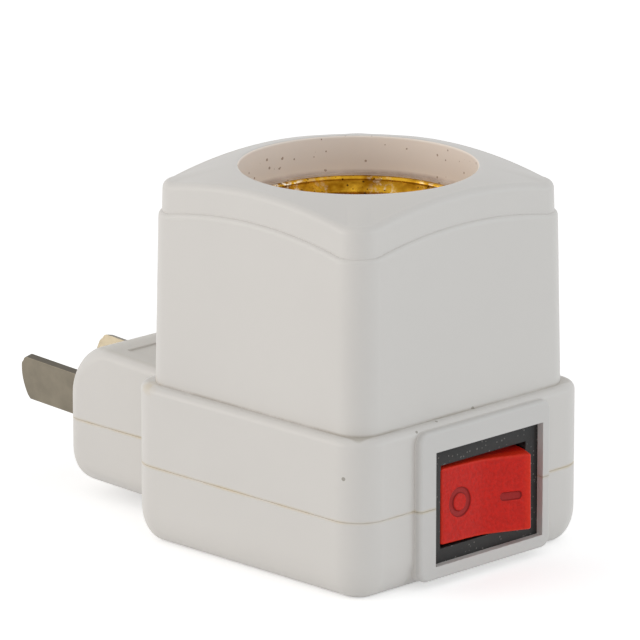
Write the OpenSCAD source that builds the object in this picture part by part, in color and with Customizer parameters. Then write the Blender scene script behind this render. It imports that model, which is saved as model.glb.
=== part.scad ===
/* [Housing] */
// Width of the square base
base_w = 41.2; // [40.8:0.1:46]
// Corner radius of the base, seen from above
base_corner_r = 4.3; // [3:0.1:6]
// Height of the ledge round the foot of the tower
ledge_z = 20.8; // [20.4:0.1:23]
// Radius along the edge of the ledge
ledge_edge_r = 1.0; // [0.4:0.1:1.4]
// Height of the seam between the two housing halves
seam_z = 10.3; // [10:0.1:11]
// How far the rounded bottom edge comes in at the table
foot_in = 3.0; // [1.5:0.1:3.4]
// How far the rounded bottom edge reaches up the side
foot_up = 4.6; // [2.5:0.1:6]
// Wall thickness of the housing
wall = 2.0; // [1.6:0.1:2.2]
// Depth of the fine groove where the two halves meet
seam_groove = 0.15; // [0.05:0.05:0.3]

/* [Tower] */
// Height of the mouth rim above the table
rim_z = 48.9; // [47:0.1:56]
// Width of the tower at its foot
tower_foot_w = 38.2; // [37.6:0.1:40]
// Width of the tower at its top, before the cap's step
tower_top_w = 37.4; // [36.8:0.1:39]
// Corner radius of the tower, seen from above
tower_corner_r = 3.6; // [2.5:0.1:5]
// Radius of the arch that the step and the top edge follow on each face
arch_r = 72; // [50:1:120]
// Height from the crease under the cap to the rim, at the middle of a face
cap_h = 4.25; // [3:0.05:6]
// How far the cap stands in from the tower wall
cap_step = 0.45; // [0.2:0.05:0.6]
// Height of the rounded shoulder that the cap stands on
shoulder_h = 0.75; // [0.4:0.05:1.2]
// How far the cap's top edge lies below the rim, at the middle of a face
edge_drop = 0.3; // [0:0.05:0.6]
// Radius along the top edge of the cap
cap_edge_r = 1.1; // [0.6:0.1:1.6]

/* [Lamp socket] */
// Diameter of the round mouth
mouth_d = 30; // [29.6:0.1:31]
// Depth of the smooth collar from the rim to the shoulder
collar_h = 4.8; // [3.5:0.1:7]
// Diameter of the well that holds the screw shell
well_d = 28.1; // [28:0.1:28.6]
// Thickness of the wall round the well
tube_wall = 1.7; // [1.2:0.1:1.8]
// Thickness of the floor under the screw shell
well_floor_t = 2.2; // [1.6:0.1:2.6]
// Width of the screw shell inside, over the crests of its thread
thread_d = 27.1; // [26.9:0.05:27.2]
// Height of the thread's wave
thread_depth = 1.1; // [0.8:0.05:1.3]
// Distance from one turn of the thread to the next
thread_pitch = 3.63; // [3.4:0.01:3.8]
// Thickness of the shell's sheet metal
shell_t = 0.3; // [0.25:0.05:0.35]
// Radius of the rolled bead at the shell's mouth
bead_r = 0.45; // [0.35:0.05:0.5]
// Diameter over the middle of the rolled bead
bead_d = 28; // [27.8:0.05:28.2]
// Depth of the bead's top below the collar's shoulder
bead_sink = 0.15; // [0.1:0.05:0.4]
// Diameter of the hole in the shell's bottom flange
flange_hole_d = 18.6; // [17:0.1:19]

/* [Plug] */
// Width of the plug body
plug_w = 25.2; // [24:0.1:28]
// Distance from the lamp axis to the plug's end face
plug_y = 41; // [40.5:0.1:46]
// Height of the plug's top where it leaves the base
plug_top_z = 19.85; // [19.4:0.05:20.4]
// Slope of the plug's top, rising to its end
plug_top_rise = 2.5; // [0:0.1:3]
// Height of the plug's underside where it leaves the base
plug_bottom_z = 1.5; // [1.2:0.1:2.4]
// Slope of the plug's underside, rising to its end
plug_bottom_rise = 1.4; // [0:0.1:2]
// Rounding of the end face into the top
plug_end_top_r = 6; // [4:0.1:7]
// Rounding of the end face into the underside
plug_end_low_r = 3.8; // [2.5:0.1:5]
// Rounding of the upright corners of the end face
plug_corner_r = 2.7; // [1.5:0.1:3]
// Rounding of the long top edges
plug_edge_r = 1.3; // [0.8:0.1:2]
// Rounding of the long bottom edges
plug_belly_r = 3; // [1.5:0.1:3.4]
// Depth of the shallow panel in the plug's top
panel_depth = 0.35; // [0.2:0.05:0.5]
// Distance from the lamp axis to the panel's far edge
panel_y = 32; // [28:0.5:34]
// Width of the panel
panel_w = 19.6; // [16:0.1:20.5]

/* [Pins] */
// Distance between the middles of the two pins
pin_pitch = 12.7; // [12:0.1:13.6]
// Width of a pin
pin_w = 6.35; // [6:0.05:6.6]
// Thickness of a pin
pin_t = 1.1; // [1:0.05:1.6]
// How far a pin stands out of the plug
pin_out = 14.1; // [12:0.1:18]
// Height of the pins' middle at the plug's end face
pin_z = 11.1; // [10.8:0.1:11.6]
// Outward lean of each pin's upper edge
pin_lean = 13; // [0:1:15]
// Upward slope of the pins
pin_rise = 3; // [0:0.5:3.5]
// Radius of the curved pin tip
pin_tip_r = 7.6; // [5:0.1:10]

/* [Switch] */
// Place of the switch along the front face, from the lamp axis
switch_x = 1.38; // [1:0.02:1.6]
// Height of the switch's middle
switch_z = 10.0; // [9.9:0.1:10.2]
// Width of the switch's flange
flange_w = 21; // [20.6:0.1:21.2]
// Height of the switch's flange
flange_h = 15; // [14.8:0.1:15.2]
// Thickness of the switch's flange
flange_t = 1.6; // [1.2:0.1:1.8]
// Width of the switch body behind the flange
switch_w = 18.8; // [18.4:0.1:18.9]
// Height of the switch body behind the flange
switch_h = 12.6; // [12.2:0.1:12.8]
// Depth of the switch body behind the flange
switch_d = 11.6; // [11.4:0.1:13]
// Wall thickness of the switch body
switch_wall = 1.2; // [1:0.1:1.3]
// Width of the rocker's window in the flange
window_w = 15.24; // [15.2:0.02:15.5]
// Height of the rocker
rocker_h = 9.45; // [9:0.05:9.8]
// Distance of the rocker's middle below the switch's middle
rocker_low = 0.4; // [0:0.05:0.5]
// Lean of the rocker each way from its middle position
rocker_tilt = 9; // [7:0.5:10]
// Slope of each half of the rocker's dished face
rocker_slope = 9.5; // [6:0.5:12]
// Distance from the pivot to the bottom of the rocker's dished face
rocker_face = 1.45; // [1.4:0.05:1.8]
// Distance of the pivot behind the flange's front
pivot_in = 1.65; // [1.5:0.05:2.2]
// Sideways lean of the contact bridge each way from its middle position
bridge_tilt = 5; // [4:0.5:6]

/* [Bezel] */
// Width of the raised frame round the switch
bezel_w = 23.7; // [23:0.1:24.6]
// Height of the raised frame
bezel_h = 19.3; // [18.6:0.1:19.4]
// How far the raised frame stands out of the base
bezel_out = 1.05; // [0.6:0.05:1.4]
// Sideways shift of the frame's middle from the lamp axis
bezel_x = 0.75; // [0.6:0.05:1]
// Height of the frame's middle
bezel_z = 10.65; // [10.6:0.05:10.8]
// Corner radius of the frame
bezel_r = 1.4; // [0.8:0.1:2]
// Width of the frame's window
bezel_window_w = 19.5; // [19:0.1:20.2]
// Height of the frame's window
bezel_window_h = 14.75; // [14.4:0.05:14.8]
// Thickness of the lip that holds the switch's flange
bezel_lip = 0.95; // [0.7:0.05:1.2]

/* [Inside] */
// Diameter of the insulated wires
wire_d = 1.6; // [1.2:0.1:1.8]
// Thickness of the contact strips
strip_t = 0.5; // [0.4:0.1:0.6]
// Diameter of the rivets' shanks
rivet_d = 2.2; // [1.8:0.1:2.4]
// Diameter of the cover screws' shanks
screw_d = 2.4; // [2:0.1:2.6]
// Diameter of the cover screws' heads
screw_head_d = 4.2; // [3.8:0.1:4.4]
// Clearance between pieces that sit in one another
gap = 0.1; // [0.05:0.01:0.12]

/* [Hidden] */
$fn = 48;

// Colours
housing_colour = "#d9d6d0";
brass_colour = "#c9a24a";
nickel_colour = "#a39b8c";
silver_colour = "#d8d8d6";
steel_colour = "#9a9c9e";
black_colour = "#2e2e2d";
red_colour = "#c23427";

// Driving places worked out from the sizes
front_y = -base_w/2;
ceiling_z = ledge_z - wall;
well_floor_z = ceiling_z + well_floor_t;
shoulder_z = rim_z - collar_h;
bead_z = shoulder_z - bead_sink - bead_r;
bead_seat_z = bead_z - bead_r - 0.02;
tube_r = well_d/2 + tube_wall;
tower_in_w = min(tower_foot_w, tower_top_w) - 2*wall;
pocket_top_z = shoulder_z - 1.5*wall;
bezel_front_y = front_y - bezel_out;
flange_front_y = bezel_front_y + bezel_lip + gap/2;
flange_back_y = flange_front_y + flange_t;
switch_back_y = flange_back_y + switch_d;
pivot_y = flange_front_y + pivot_in;
rocker_z = switch_z - rocker_low;
big = 200;

// Corner points of a rounded rectangle, steps segments to a corner and side_steps to a side
function corner_arc(cx, cy, r, a0, steps) =
    [for (i = [0:steps]) [cx + r*cos(a0 + 90*i/steps), cy + r*sin(a0 + 90*i/steps)]];
function between(p, q, steps) = [for (i = [1:1:steps - 1]) p + (q - p)*i/steps];
function rounded_outline(w, d, r, steps, side_steps) =
    let (x = w/2 - r, y = d/2 - r,
         arcs = [corner_arc(x, y, r, 0, steps), corner_arc(-x, y, r, 90, steps),
                 corner_arc(-x, -y, r, 180, steps), corner_arc(x, -y, r, 270, steps)])
    [for (k = [0:3]) each concat(arcs[k], between(arcs[k][steps], arcs[(k + 1)%4][0], side_steps))];

// Solid through a stack of rings that all have the same number of points
function middle(ring) = [for (k = [0:2]) [for (p = ring) p[k]]*[for (p = ring) 1]/len(ring)];
module loft(rings) {
    n = len(rings[0]);
    m = len(rings);
    points = concat([for (ring = rings) each ring], [middle(rings[0]), middle(rings[m - 1])]);
    sides = [for (k = [0:m - 2]) for (i = [0:n - 1])
        let (a = k*n + i, b = k*n + (i + 1)%n)
        each [[a, a + n, b], [b, a + n, b + n]]];
    low = [for (i = [0:n - 1]) [i, (i + 1)%n, m*n]];
    high = [for (i = [0:n - 1]) [(m - 1)*n + (i + 1)%n, (m - 1)*n + i, m*n + 1]];
    polyhedron(points, concat(sides, low, high), convexity = 6);
}

module rounded_rect(w, d, r) {
    square([w - 2*r, d], center = true);
    square([w, d - 2*r], center = true);
    for (x = [-1, 1], y = [-1, 1])
        translate([x*(w/2 - r), y*(d/2 - r)]) circle(r);
}

// Plate with its outline in X and Z, standing from y0 to y1
module upright(y0, y1) {
    translate([0, y1, 0]) rotate([90, 0, 0]) linear_extrude(y1 - y0) children();
}

module above_seam() {
    intersection() {
        children();
        translate([-big/2, -big/2, seam_z]) cube(big);
    }
}

module below_seam() {
    intersection() {
        children();
        translate([-big/2, -big/2, seam_z - big]) cube(big);
    }
}

// Base
base_steps = 6;
function base_ring(inset, z) =
    [for (p = rounded_outline(base_w - 2*inset, base_w - 2*inset, base_corner_r - inset, base_steps, 1))
        [p.x, p.y, z]];
foot_steps = 6;
module lower_base_form() {
    foot = [for (i = [0:foot_steps]) let (a = 90*i/foot_steps)
        base_ring(foot_in*(1 - sin(a)), foot_up*(1 - cos(a)))];
    loft(concat(foot, [base_ring(0, seam_z - 2*seam_groove), base_ring(seam_groove, seam_z)]));
}
module upper_base_form() {
    edge = [for (i = [0:3]) let (a = 30*i)
        base_ring(ledge_edge_r*(1 - cos(a)), ledge_z - ledge_edge_r*(1 - sin(a)))];
    loft(concat([base_ring(seam_groove, seam_z), base_ring(0, seam_z + 2*seam_groove)], edge));
}

// Tower: the crease and the top edge dip towards the corners along an arch, and run level round them
tower_steps = 6;
tower_side_steps = 8;
function sag(p, flat_end) =
    let (s = min(abs(p.x), abs(p.y), flat_end)) arch_r - sqrt(arch_r*arch_r - s*s);
function tower_w(z) = tower_foot_w + (tower_top_w - tower_foot_w)*(z - ledge_z)/(rim_z - ledge_z);
function tower_outline(w, inset) =
    rounded_outline(w - 2*inset, w - 2*inset, tower_corner_r - inset, tower_steps, tower_side_steps);
function flat_ring(w, z) = [for (p = tower_outline(w, 0)) [p.x, p.y, z]];
function arched_ring(w, inset, z) =
    [for (p = tower_outline(w, inset)) [p.x, p.y, z - sag(p, w/2 - tower_corner_r)]];
function mouth_ring(r, z) =
    [for (p = tower_outline(tower_top_w, 0)) let (a = atan2(p.y, p.x)) [r*cos(a), r*sin(a), z]];
// Ring between the top edge and the rim, on a slightly domed surface
dome = 1.3;
function domed_ring(edge, rim, f) = [for (i = [0:len(edge) - 1])
    let (p = edge[i]*(1 - f) + rim[i]*f) [p.x, p.y, rim[i].z - (rim[i].z - edge[i].z)*pow(1 - f, dome)]];
crease_z = rim_z - cap_h;
rim_land = 0.3;
module tower_form() {
    shoulder = [for (i = [0:3]) let (a = 30*i)
        arched_ring(tower_w(crease_z), cap_step*(1 - cos(a)), crease_z - shoulder_h*(1 - sin(a)))];
    top_z = rim_z - edge_drop;
    edge = [for (i = [0:4]) let (a = 22.5*i)
        arched_ring(tower_top_w, cap_step + cap_edge_r*(1 - cos(a)), top_z - cap_edge_r*(1 - sin(a)))];
    rim = mouth_ring(mouth_d/2 + rim_land, rim_z);
    loft(concat([flat_ring(tower_foot_w, seam_z + wall), flat_ring(tower_foot_w, ledge_z)], shoulder, edge,
                [for (f = [0.33, 0.67]) domed_ring(edge[4], rim, f)], [rim]));
}

// Plug body, as sections along Y
plug_root_y = base_w/2 - 4;
function plug_top(y) = plug_top_z + (y - base_w/2)*tan(plug_top_rise);
function plug_bottom(y) = plug_bottom_z + (y - base_w/2)*tan(plug_bottom_rise);
function round_in(d, r) = d >= r ? 0 : r - sqrt(r*r - (r - d)*(r - d));
function plug_section(y, up) =
    let (d = plug_y - y,
         half = plug_w/2 - round_in(d, plug_corner_r),
         drop = round_in(d, up > 0 ? plug_end_top_r : plug_end_low_r),
         r = up > 0 ? plug_edge_r : plug_belly_r,
         level = up > 0 ? plug_top(y) - drop : plug_bottom(y) + drop,
         right = [for (i = [0:4]) let (a = 90*i/4)
            [half - r + r*cos(a), level - up*(r - r*sin(a))]],
         left = [for (i = [4:-1:0]) [-right[i].x, right[i].y]])
    [for (p = concat([[half - seam_groove, seam_z], [half, seam_z + up*2*seam_groove]], right, left,
                     [[-half, seam_z + up*2*seam_groove], [-half + seam_groove, seam_z]]))
        [p.x, y, p.y]];
plug_end_steps = 6;
module plug_form(up) {
    end_r = up > 0 ? plug_end_top_r : plug_end_low_r;
    ys = concat([plug_root_y],
                [for (i = [0:plug_end_steps]) plug_y - end_r*(1 - sin(90*i/plug_end_steps))]);
    loft([for (y = ys) let (ring = plug_section(y, up), n = len(ring))
        [for (i = [0:n - 1]) up > 0 ? ring[n - 1 - i] : ring[i]]]);
}

// Raised frame round the switch, and the thicker wall behind it
pad_back_y = flange_back_y + gap + 1.4;
module bezel_form() {
    upright(bezel_front_y, front_y + wall)
        translate([bezel_x, bezel_z]) rounded_rect(bezel_w, bezel_h, bezel_r);
}
module switch_pad() {
    pad_w = flange_w + 2*gap + 3;
    translate([switch_x - pad_w/2, front_y + wall/2, wall/2])
        cube([pad_w, pad_back_y - front_y - wall/2, ceiling_z]);
}
module switch_cut() {
    upright(bezel_front_y - 1, pad_back_y + 1)
        translate([switch_x, switch_z]) square([bezel_window_w - 1, switch_h + 2*gap], center = true);
    upright(bezel_front_y - 1, flange_front_y)
        translate([switch_x, switch_z + 0.1]) square([bezel_window_w, bezel_window_h], center = true);
    upright(flange_front_y - gap/2, flange_back_y + gap)
        translate([switch_x, switch_z]) square([flange_w + 2*gap, flange_h + 2*gap], center = true);
    upright(flange_back_y, pad_back_y + 1)
        translate([switch_x, switch_z]) square([switch_w + 2*gap, switch_h + 2*gap], center = true);
}

// Screws, posts and pegs that join the halves
post_r = screw_d/2 + 1.9;
corner_in = 6.4;
plug_screw_in = 10.5;
post_xy = base_w/2 - corner_in;
post_x = max(post_xy, switch_x + switch_w/2 + 2*gap + post_r);
plug_screw_y = plug_y - plug_screw_in;
screw_places = [[-post_x, -post_xy], [post_x, -post_xy], [0, plug_screw_y]];
peg_places = [[-post_xy, post_xy], [post_xy, post_xy]];
peg_r = 1.45;
head_seat_z = 4.6;
head_h = 1.8;
bite_len = 5;
bite_in = 0.3;
bite_hole_len = 7.4;

// Pins: each blade lies in its own leaning plane
pin_root = 12.6;
shoulder_len = 2.4;
shoulder_w = 8.4;
tail_w = 4.5;
end_wall = 2.4;
shoulder_y = plug_y - end_wall - gap - shoulder_len;
function pin_outline() =
    let (half = pin_w/2,
         sink = pin_tip_r - sqrt(pin_tip_r*pin_tip_r - half*half),
         top_r = 0.9,
         low_r = 0.4,
         edge = pin_out - sink,
         tip = [for (i = [0:6]) let (v = -half + low_r + (pin_w - low_r - top_r)*i/6)
            [pin_out - pin_tip_r + sqrt(pin_tip_r*pin_tip_r - v*v), v]],
         upper = [for (i = [0:4]) let (a = 20 + 70*i/4)
            [edge - top_r + top_r*cos(a), half - top_r + top_r*sin(a)]])
    concat([[edge - low_r, -half]], tip, upper);
module pin_plate(grow) {
    blade = pin_outline();
    linear_extrude(pin_t + 2*grow, center = true) {
        if (grow == 0) polygon(concat([[-end_wall, -pin_w/2]], blade, [[-end_wall, pin_w/2]]));
        else translate([-end_wall - 1, -pin_w/2 - grow]) square([end_wall + 2, pin_w + 2*grow]);
        translate([shoulder_y - plug_y - grow, -shoulder_w/2 - grow])
            square([shoulder_len + 2*grow, shoulder_w + 2*grow]);
        translate([-pin_root - grow, -tail_w/2 - grow]) square([pin_root + grow, tail_w + 2*grow]);
    }
}
// Stands a pin's plate up in its place: along Y, leaning outward, rising to the tip
module pin_place(side) {
    translate([side*pin_pitch/2, plug_y, pin_z]) rotate([pin_rise, side*pin_lean, 0])
        rotate([90, 0, 90]) children();
}
module pin(side) {
    color(nickel_colour) pin_place(side) difference() {
        pin_plate(0);
        translate([-pin_root + 1.6, 0, 0]) cylinder(h = 3*pin_t, r = 0.8, center = true);
    }
}
module pin_slots() {
    for (side = [-1, 1]) pin_place(side) pin_plate(gap);
}
rib_y = shoulder_y - gap;
rib_t = 1.8;
rib_w = 6.4;
module pin_ribs() {
    for (side = [-1, 1])
        translate([side*pin_pitch/2 - rib_w/2, rib_y - rib_t, plug_bottom_z + wall/2])
            cube([rib_w, rib_t, plug_top_z - plug_bottom_z - wall]);
}

// Hollow of the housing
plug_in_w = plug_w - 2*wall;
plug_floor_z = plug_bottom(plug_y) + wall;
plug_ceiling_z = plug_top_z - wall;
module plug_hollow() {
    translate([-plug_in_w/2, base_w/2 - wall - 1, plug_floor_z])
        cube([plug_in_w, plug_y - end_wall - base_w/2 + wall + 1, plug_ceiling_z - plug_floor_z]);
}
module base_hollow(z0, z1) {
    translate([0, 0, z0]) linear_extrude(z1 - z0)
        rounded_rect(base_w - 2*wall, base_w - 2*wall, base_corner_r - wall);
}
module tower_pockets() {
    translate([0, 0, ceiling_z - 1]) linear_extrude(pocket_top_z - ceiling_z + 1) difference() {
        rounded_rect(tower_in_w, tower_in_w, tower_corner_r - wall/2);
        circle(tube_r);
    }
}

module upper_shell() {
    color(housing_colour) difference() {
        union() {
            difference() {
                union() {
                    upper_base_form();
                    tower_form();
                    plug_form(1);
                    above_seam() bezel_form();
                }
                base_hollow(seam_z - 1, ceiling_z);
                above_seam() plug_hollow();
                tower_pockets();
            }
            above_seam() switch_pad();
            above_seam() pin_ribs();
            for (p = screw_places)
                translate([p.x, p.y, seam_z]) cylinder(h = ceiling_z - seam_z + 0.6, r = post_r);
            for (p = peg_places)
                translate([p.x, p.y, seam_z]) cylinder(h = ceiling_z - seam_z + 6, r = peg_r + 1.2);
            for (x = [-post_x, post_x])
                translate([x, -post_xy, ceiling_z - 1]) cylinder(h = 7, r = post_r);
        }
        switch_cut();
        pin_slots();
        for (p = screw_places)
            translate([p.x, p.y, seam_z - 1]) cylinder(h = bite_hole_len + 1, r = screw_d/2 - bite_in/2);
        for (p = peg_places)
            translate([p.x, p.y, seam_z - 1]) cylinder(h = 5, r = peg_r + gap);
        translate([0, 0, shoulder_z]) cylinder(h = big, r = mouth_d/2);
        translate([0, 0, bead_seat_z]) cylinder(h = big, r = bead_d/2 + bead_r + gap/2);
        translate([0, 0, well_floor_z]) cylinder(h = big, r = well_d/2);
        for (p = rivet_places)
            translate([p.x, p.y, ceiling_z - 1]) cylinder(h = well_floor_t + 2, r = rivet_d/2 + gap/2);
        translate([-panel_w/2, base_w/2 - 1, plug_top(base_w/2 - 1) - panel_depth])
            rotate([plug_top_rise, 0, 0]) cube([panel_w, (panel_y - base_w/2 + 1)/cos(plug_top_rise), wall]);
    }
}

module lower_shell() {
    color(housing_colour) difference() {
        union() {
            difference() {
                union() {
                    lower_base_form();
                    plug_form(-1);
                    below_seam() bezel_form();
                }
                base_hollow(wall, seam_z + 1);
                plug_hollow();
            }
            below_seam() switch_pad();
            below_seam() pin_ribs();
            for (p = screw_places)
                translate([p.x, p.y, plug_floor_z - wall/2]) cylinder(h = seam_z - plug_floor_z + wall/2, r = post_r);
            for (p = [screw_places[0], screw_places[1]])
                translate([p.x, p.y, wall/2]) cylinder(h = seam_z - wall/2, r = post_r);
            for (p = peg_places) {
                translate([p.x, p.y, wall/2]) cylinder(h = seam_z - wall/2, r = peg_r + 1.2);
                translate([p.x, p.y, wall]) cylinder(h = seam_z - wall + 3, r = peg_r);
            }
        }
        switch_cut();
        pin_slots();
        for (p = screw_places) {
            translate([p.x, p.y, -1]) cylinder(h = big, r = screw_d/2 + gap);
            translate([p.x, p.y, -1]) cylinder(h = head_seat_z + 1, r = screw_head_d/2 + 0.2);
        }
    }
}

// Screw shell: thin sheet rolled to a coarse round thread, with a beaded mouth
thread_turn_steps = 36;
wave_steps = 6;
thread_low_z = well_floor_z + shell_t;
thread_top_z = bead_z - 3*bead_r;
thread_rows = ceil((thread_top_z - thread_low_z)/(thread_pitch/wave_steps));
crest_r = thread_d/2;
function fade(f) = f <= 0 ? 0 : f >= 1 ? 1 : f*f*(3 - 2*f);
// Inner radius of the sheet at an angle and a height
function sheet_r(a, z) =
    let (env = fade((z - thread_low_z)/2)*fade((thread_top_z - z)/2))
    crest_r - thread_depth/2 - 0.15 + env*(0.15 + thread_depth/2*cos(360*(z/thread_pitch) - a));
// Closed loop of points round the sheet's section, at one angle
function shell_section(a) =
    let (zs = [for (i = [0:thread_rows]) thread_low_z + (thread_top_z - thread_low_z)*i/thread_rows],
         inner = [for (z = zs) [sheet_r(a, z), z]],
         outer = [for (i = [thread_rows:-1:0]) [sheet_r(a, zs[i]) + shell_t, zs[i]]],
         bead = [for (i = [0:7]) let (b = 190 - 43*i)
            [bead_d/2 + bead_r*cos(b), bead_z + bead_r*sin(b)]],
         low = [[crest_r - thread_depth/2 - 0.15 + shell_t, well_floor_z + 0.01],
                [flange_hole_d/2 + 2, well_floor_z + 0.01], [flange_hole_d/2 + 2, thread_low_z]])
    concat(inner, bead, outer, low);
module screw_shell() {
    sections = [for (k = [0:thread_turn_steps - 1]) let (a = 360*k/thread_turn_steps)
        [for (p = shell_section(a)) [p.x*cos(a), p.x*sin(a), p.y]]];
    n = len(sections[0]);
    faces = [for (k = [0:thread_turn_steps - 1]) for (i = [0:n - 1])
        let (a = k*n + i, b = k*n + (i + 1)%n,
             c = ((k + 1)%thread_turn_steps)*n + i, d = ((k + 1)%thread_turn_steps)*n + (i + 1)%n)
        each [[a, c, b], [b, c, d]]];
    color(brass_colour) difference() {
        union() {
            polyhedron([for (s = sections) each s], faces, convexity = 8);
            translate([0, 0, well_floor_z + 0.01]) difference() {
                cylinder(h = shell_t - 0.01, r = flange_hole_d/2 + 2.5);
                translate([0, 0, -1]) cylinder(h = 3, r = flange_hole_d/2);
            }
        }
        for (p = [rivet_places[0], rivet_places[1]])
            translate([p.x, p.y, well_floor_z - 1]) cylinder(h = 3, r = rivet_d/2 + gap/2);
    }
}

// Rivets: two clamp the screw shell, one the centre contact
shell_rivet_r = flange_hole_d/2 + 1.3;
centre_rivet_x = -5.2;
rivet_places = [[0, shell_rivet_r], [0, -shell_rivet_r], [centre_rivet_x, 0]];
rivet_head_r = rivet_d/2 + 0.6;
rivet_head_h = 0.8;
leaf_t = 0.4;
module rivet(head_z, tail_z) {
    translate([0, 0, tail_z - rivet_head_h]) cylinder(h = rivet_head_h, r = rivet_head_r);
    translate([0, 0, tail_z - rivet_head_h]) cylinder(h = head_z - tail_z + 2*rivet_head_h, r = rivet_d/2);
    translate([0, 0, head_z]) cylinder(h = rivet_head_h, r1 = rivet_head_r, r2 = rivet_head_r - 0.4);
}
module contact_rivets() {
    color(steel_colour) {
        translate(rivet_places[0]) rivet(well_floor_z + shell_t, ceiling_z - strip_t);
        translate(rivet_places[1]) rivet(well_floor_z + shell_t, ceiling_z);
        translate(rivet_places[2]) rivet(well_floor_z + leaf_t + 0.02, ceiling_z - strip_t);
    }
}

// Centre contact: a sprung leaf that rises to meet the lamp's tip
leaf_w = 5;
leaf_rise = 4;
leaf_reach = 5.4;
module centre_contact() {
    top = [for (i = [0:8]) let (a = 90*i/8)
        [-1.2 + leaf_reach*sin(a)*0.75, leaf_rise*(1 - cos(a)) + leaf_t]];
    back = [for (i = [8:-1:0]) [top[i].x + leaf_t*0.8*(1 - i/16), top[i].y - leaf_t]];
    color(brass_colour) difference() {
        translate([0, leaf_w/2, well_floor_z + 0.01]) rotate([90, 0, 0]) linear_extrude(leaf_w)
            polygon(concat([[centre_rivet_x - 2.4, 0], [centre_rivet_x - 2.4, leaf_t - 0.01]], top, back));
        translate([centre_rivet_x, 0, well_floor_z - 1]) cylinder(h = 3, r = rivet_d/2 + gap/2);
    }
}

// Strips under the well's floor, each with a tag bent down for its wire
tag_h = 4;
tag_hole_up = 1.4;
strip_reach = 5;
tag_hole_r = 0.6;
strip_w = 4.4;
tag_z = ceiling_z - tag_h + tag_hole_up;
shell_strip_y = shell_rivet_r + strip_reach;
module shell_strip() {
    color(brass_colour) difference() {
        union() {
            translate([-strip_w/2, shell_rivet_r - strip_w/2, ceiling_z - strip_t])
                cube([strip_w, shell_strip_y - shell_rivet_r + strip_w/2, strip_t - 0.01]);
            translate([-strip_w/2, shell_strip_y - strip_t, ceiling_z - tag_h])
                cube([strip_w, strip_t, tag_h - 0.01]);
        }
        translate([0, shell_rivet_r, ceiling_z - 2*strip_t]) cylinder(h = 3*strip_t, r = rivet_d/2 + gap/2);
        translate([0, shell_strip_y + strip_t, tag_z]) rotate([90, 0, 0])
            cylinder(h = 3*strip_t, r = tag_hole_r);
    }
}
centre_strip_x = centre_rivet_x - strip_reach;
module centre_strip() {
    color(brass_colour) difference() {
        union() {
            translate([centre_strip_x, -strip_w/2, ceiling_z - strip_t])
                cube([centre_rivet_x - centre_strip_x + strip_w/2, strip_w, strip_t - 0.01]);
            translate([centre_strip_x, -strip_w/2, ceiling_z - tag_h])
                cube([strip_t, strip_w, tag_h - 0.01]);
        }
        translate([centre_rivet_x, 0, ceiling_z - 2*strip_t]) cylinder(h = 3*strip_t, r = rivet_d/2 + gap/2);
        translate([centre_strip_x - strip_t, 0, tag_z]) rotate([0, 90, 0])
            cylinder(h = 3*strip_t, r = tag_hole_r);
    }
}

// Cover screws, driven from the underside
module cover_screw() {
    translate([0, 0, head_seat_z - head_h - 0.02]) difference() {
        cylinder(h = head_h, r1 = screw_head_d/2 - head_h/4, r2 = screw_head_d/2);
        for (a = [0, 90]) rotate([0, 0, a])
            cube([2*screw_head_d/3, screw_head_d/7, head_h], center = true);
    }
    translate([0, 0, head_seat_z - head_h/2]) cylinder(h = seam_z - head_seat_z + head_h/4, r = screw_d/2);
    translate([0, 0, seam_z - head_h/2]) cylinder(h = bite_len, r = screw_d/2 - bite_in);
}
module cover_screws() {
    color(steel_colour) for (p = screw_places) translate([p.x, p.y, 0]) cover_screw();
}

// Switch body: flange in front, open box behind it
module switch_body() {
    color(black_colour) difference() {
        union() {
            upright(flange_front_y, flange_back_y)
                translate([switch_x, switch_z]) rounded_rect(flange_w, flange_h, 0.6);
            upright(flange_back_y - 0.5, switch_back_y)
                translate([switch_x, switch_z]) rounded_rect(switch_w, switch_h, 0.6);
        }
        upright(flange_front_y - 1, flange_back_y)
            translate([switch_x, rocker_z]) square([window_w, rocker_h + 4*gap], center = true);
        upright(flange_back_y - 0.5, switch_back_y - switch_wall)
            translate([switch_x, rocker_z])
                square([switch_w - 2*switch_wall, rocker_h + 4*gap], center = true);
        translate([switch_x, pivot_y, rocker_z])
            cylinder(h = rocker_h + 4*gap + 2*pivot_pin_len, r = pivot_pin_r + 0.05, center = true);
        for (x = [0, load_x]) terminal_slot(x);
    }
}
terminal_t = 0.8;
terminal_w = 4.8;
load_x = -6;
terminal_len = 7;
module terminal_slot(x) {
    translate([switch_x + x - terminal_t/2 - gap, switch_back_y - switch_wall - 1, rocker_z - terminal_w/2 - gap])
        cube([terminal_t + 2*gap, switch_wall + 2, terminal_w + 2*gap]);
}

// Rocker: dished face, round ends about the pivot, hub behind
pivot_pin_r = 0.9;
pivot_pin_len = 0.7;
rocker_r = window_w/2 - 0.07;
hub_len = 4.6;
bore_r = 1.3;
plunger_r = 1.22;
bore_end = 0.9;
function face_depth(x) = rocker_face + tan(rocker_slope)*(sqrt(x*x + 1.44) - 1.2);
face_half = rocker_r*cos(asin(face_depth(rocker_r*0.93)/rocker_r)) - 0.35;
function rocker_outline() =
    let (face = [for (i = [-10:10]) let (x = face_half*i/10) [x, -face_depth(x)]],
         a0 = -asin((face_depth(face_half) - 0.35)/rocker_r),
         a1 = 12,
         side = [for (i = [0:5]) let (a = a0 + (a1 - a0)*i/5) rocker_r*[cos(a), sin(a)]])
    concat(face, side, [[3.2, 2.2], [2.6, hub_len], [-2.6, hub_len], [-3.2, 2.2]],
           [for (i = [5:-1:0]) [-side[i].x, side[i].y]]);
module rocker_place(turn) {
    translate([switch_x, pivot_y, rocker_z]) rotate([0, 0, turn]) children();
}
mark_depth = 0.25;
ring_x = -3.75;
ring_r = 1.87;
ring_stroke = 0.72;
bar_x = 4.2;
bar_len = 3.0;
bar_w = 1.0;
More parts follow.
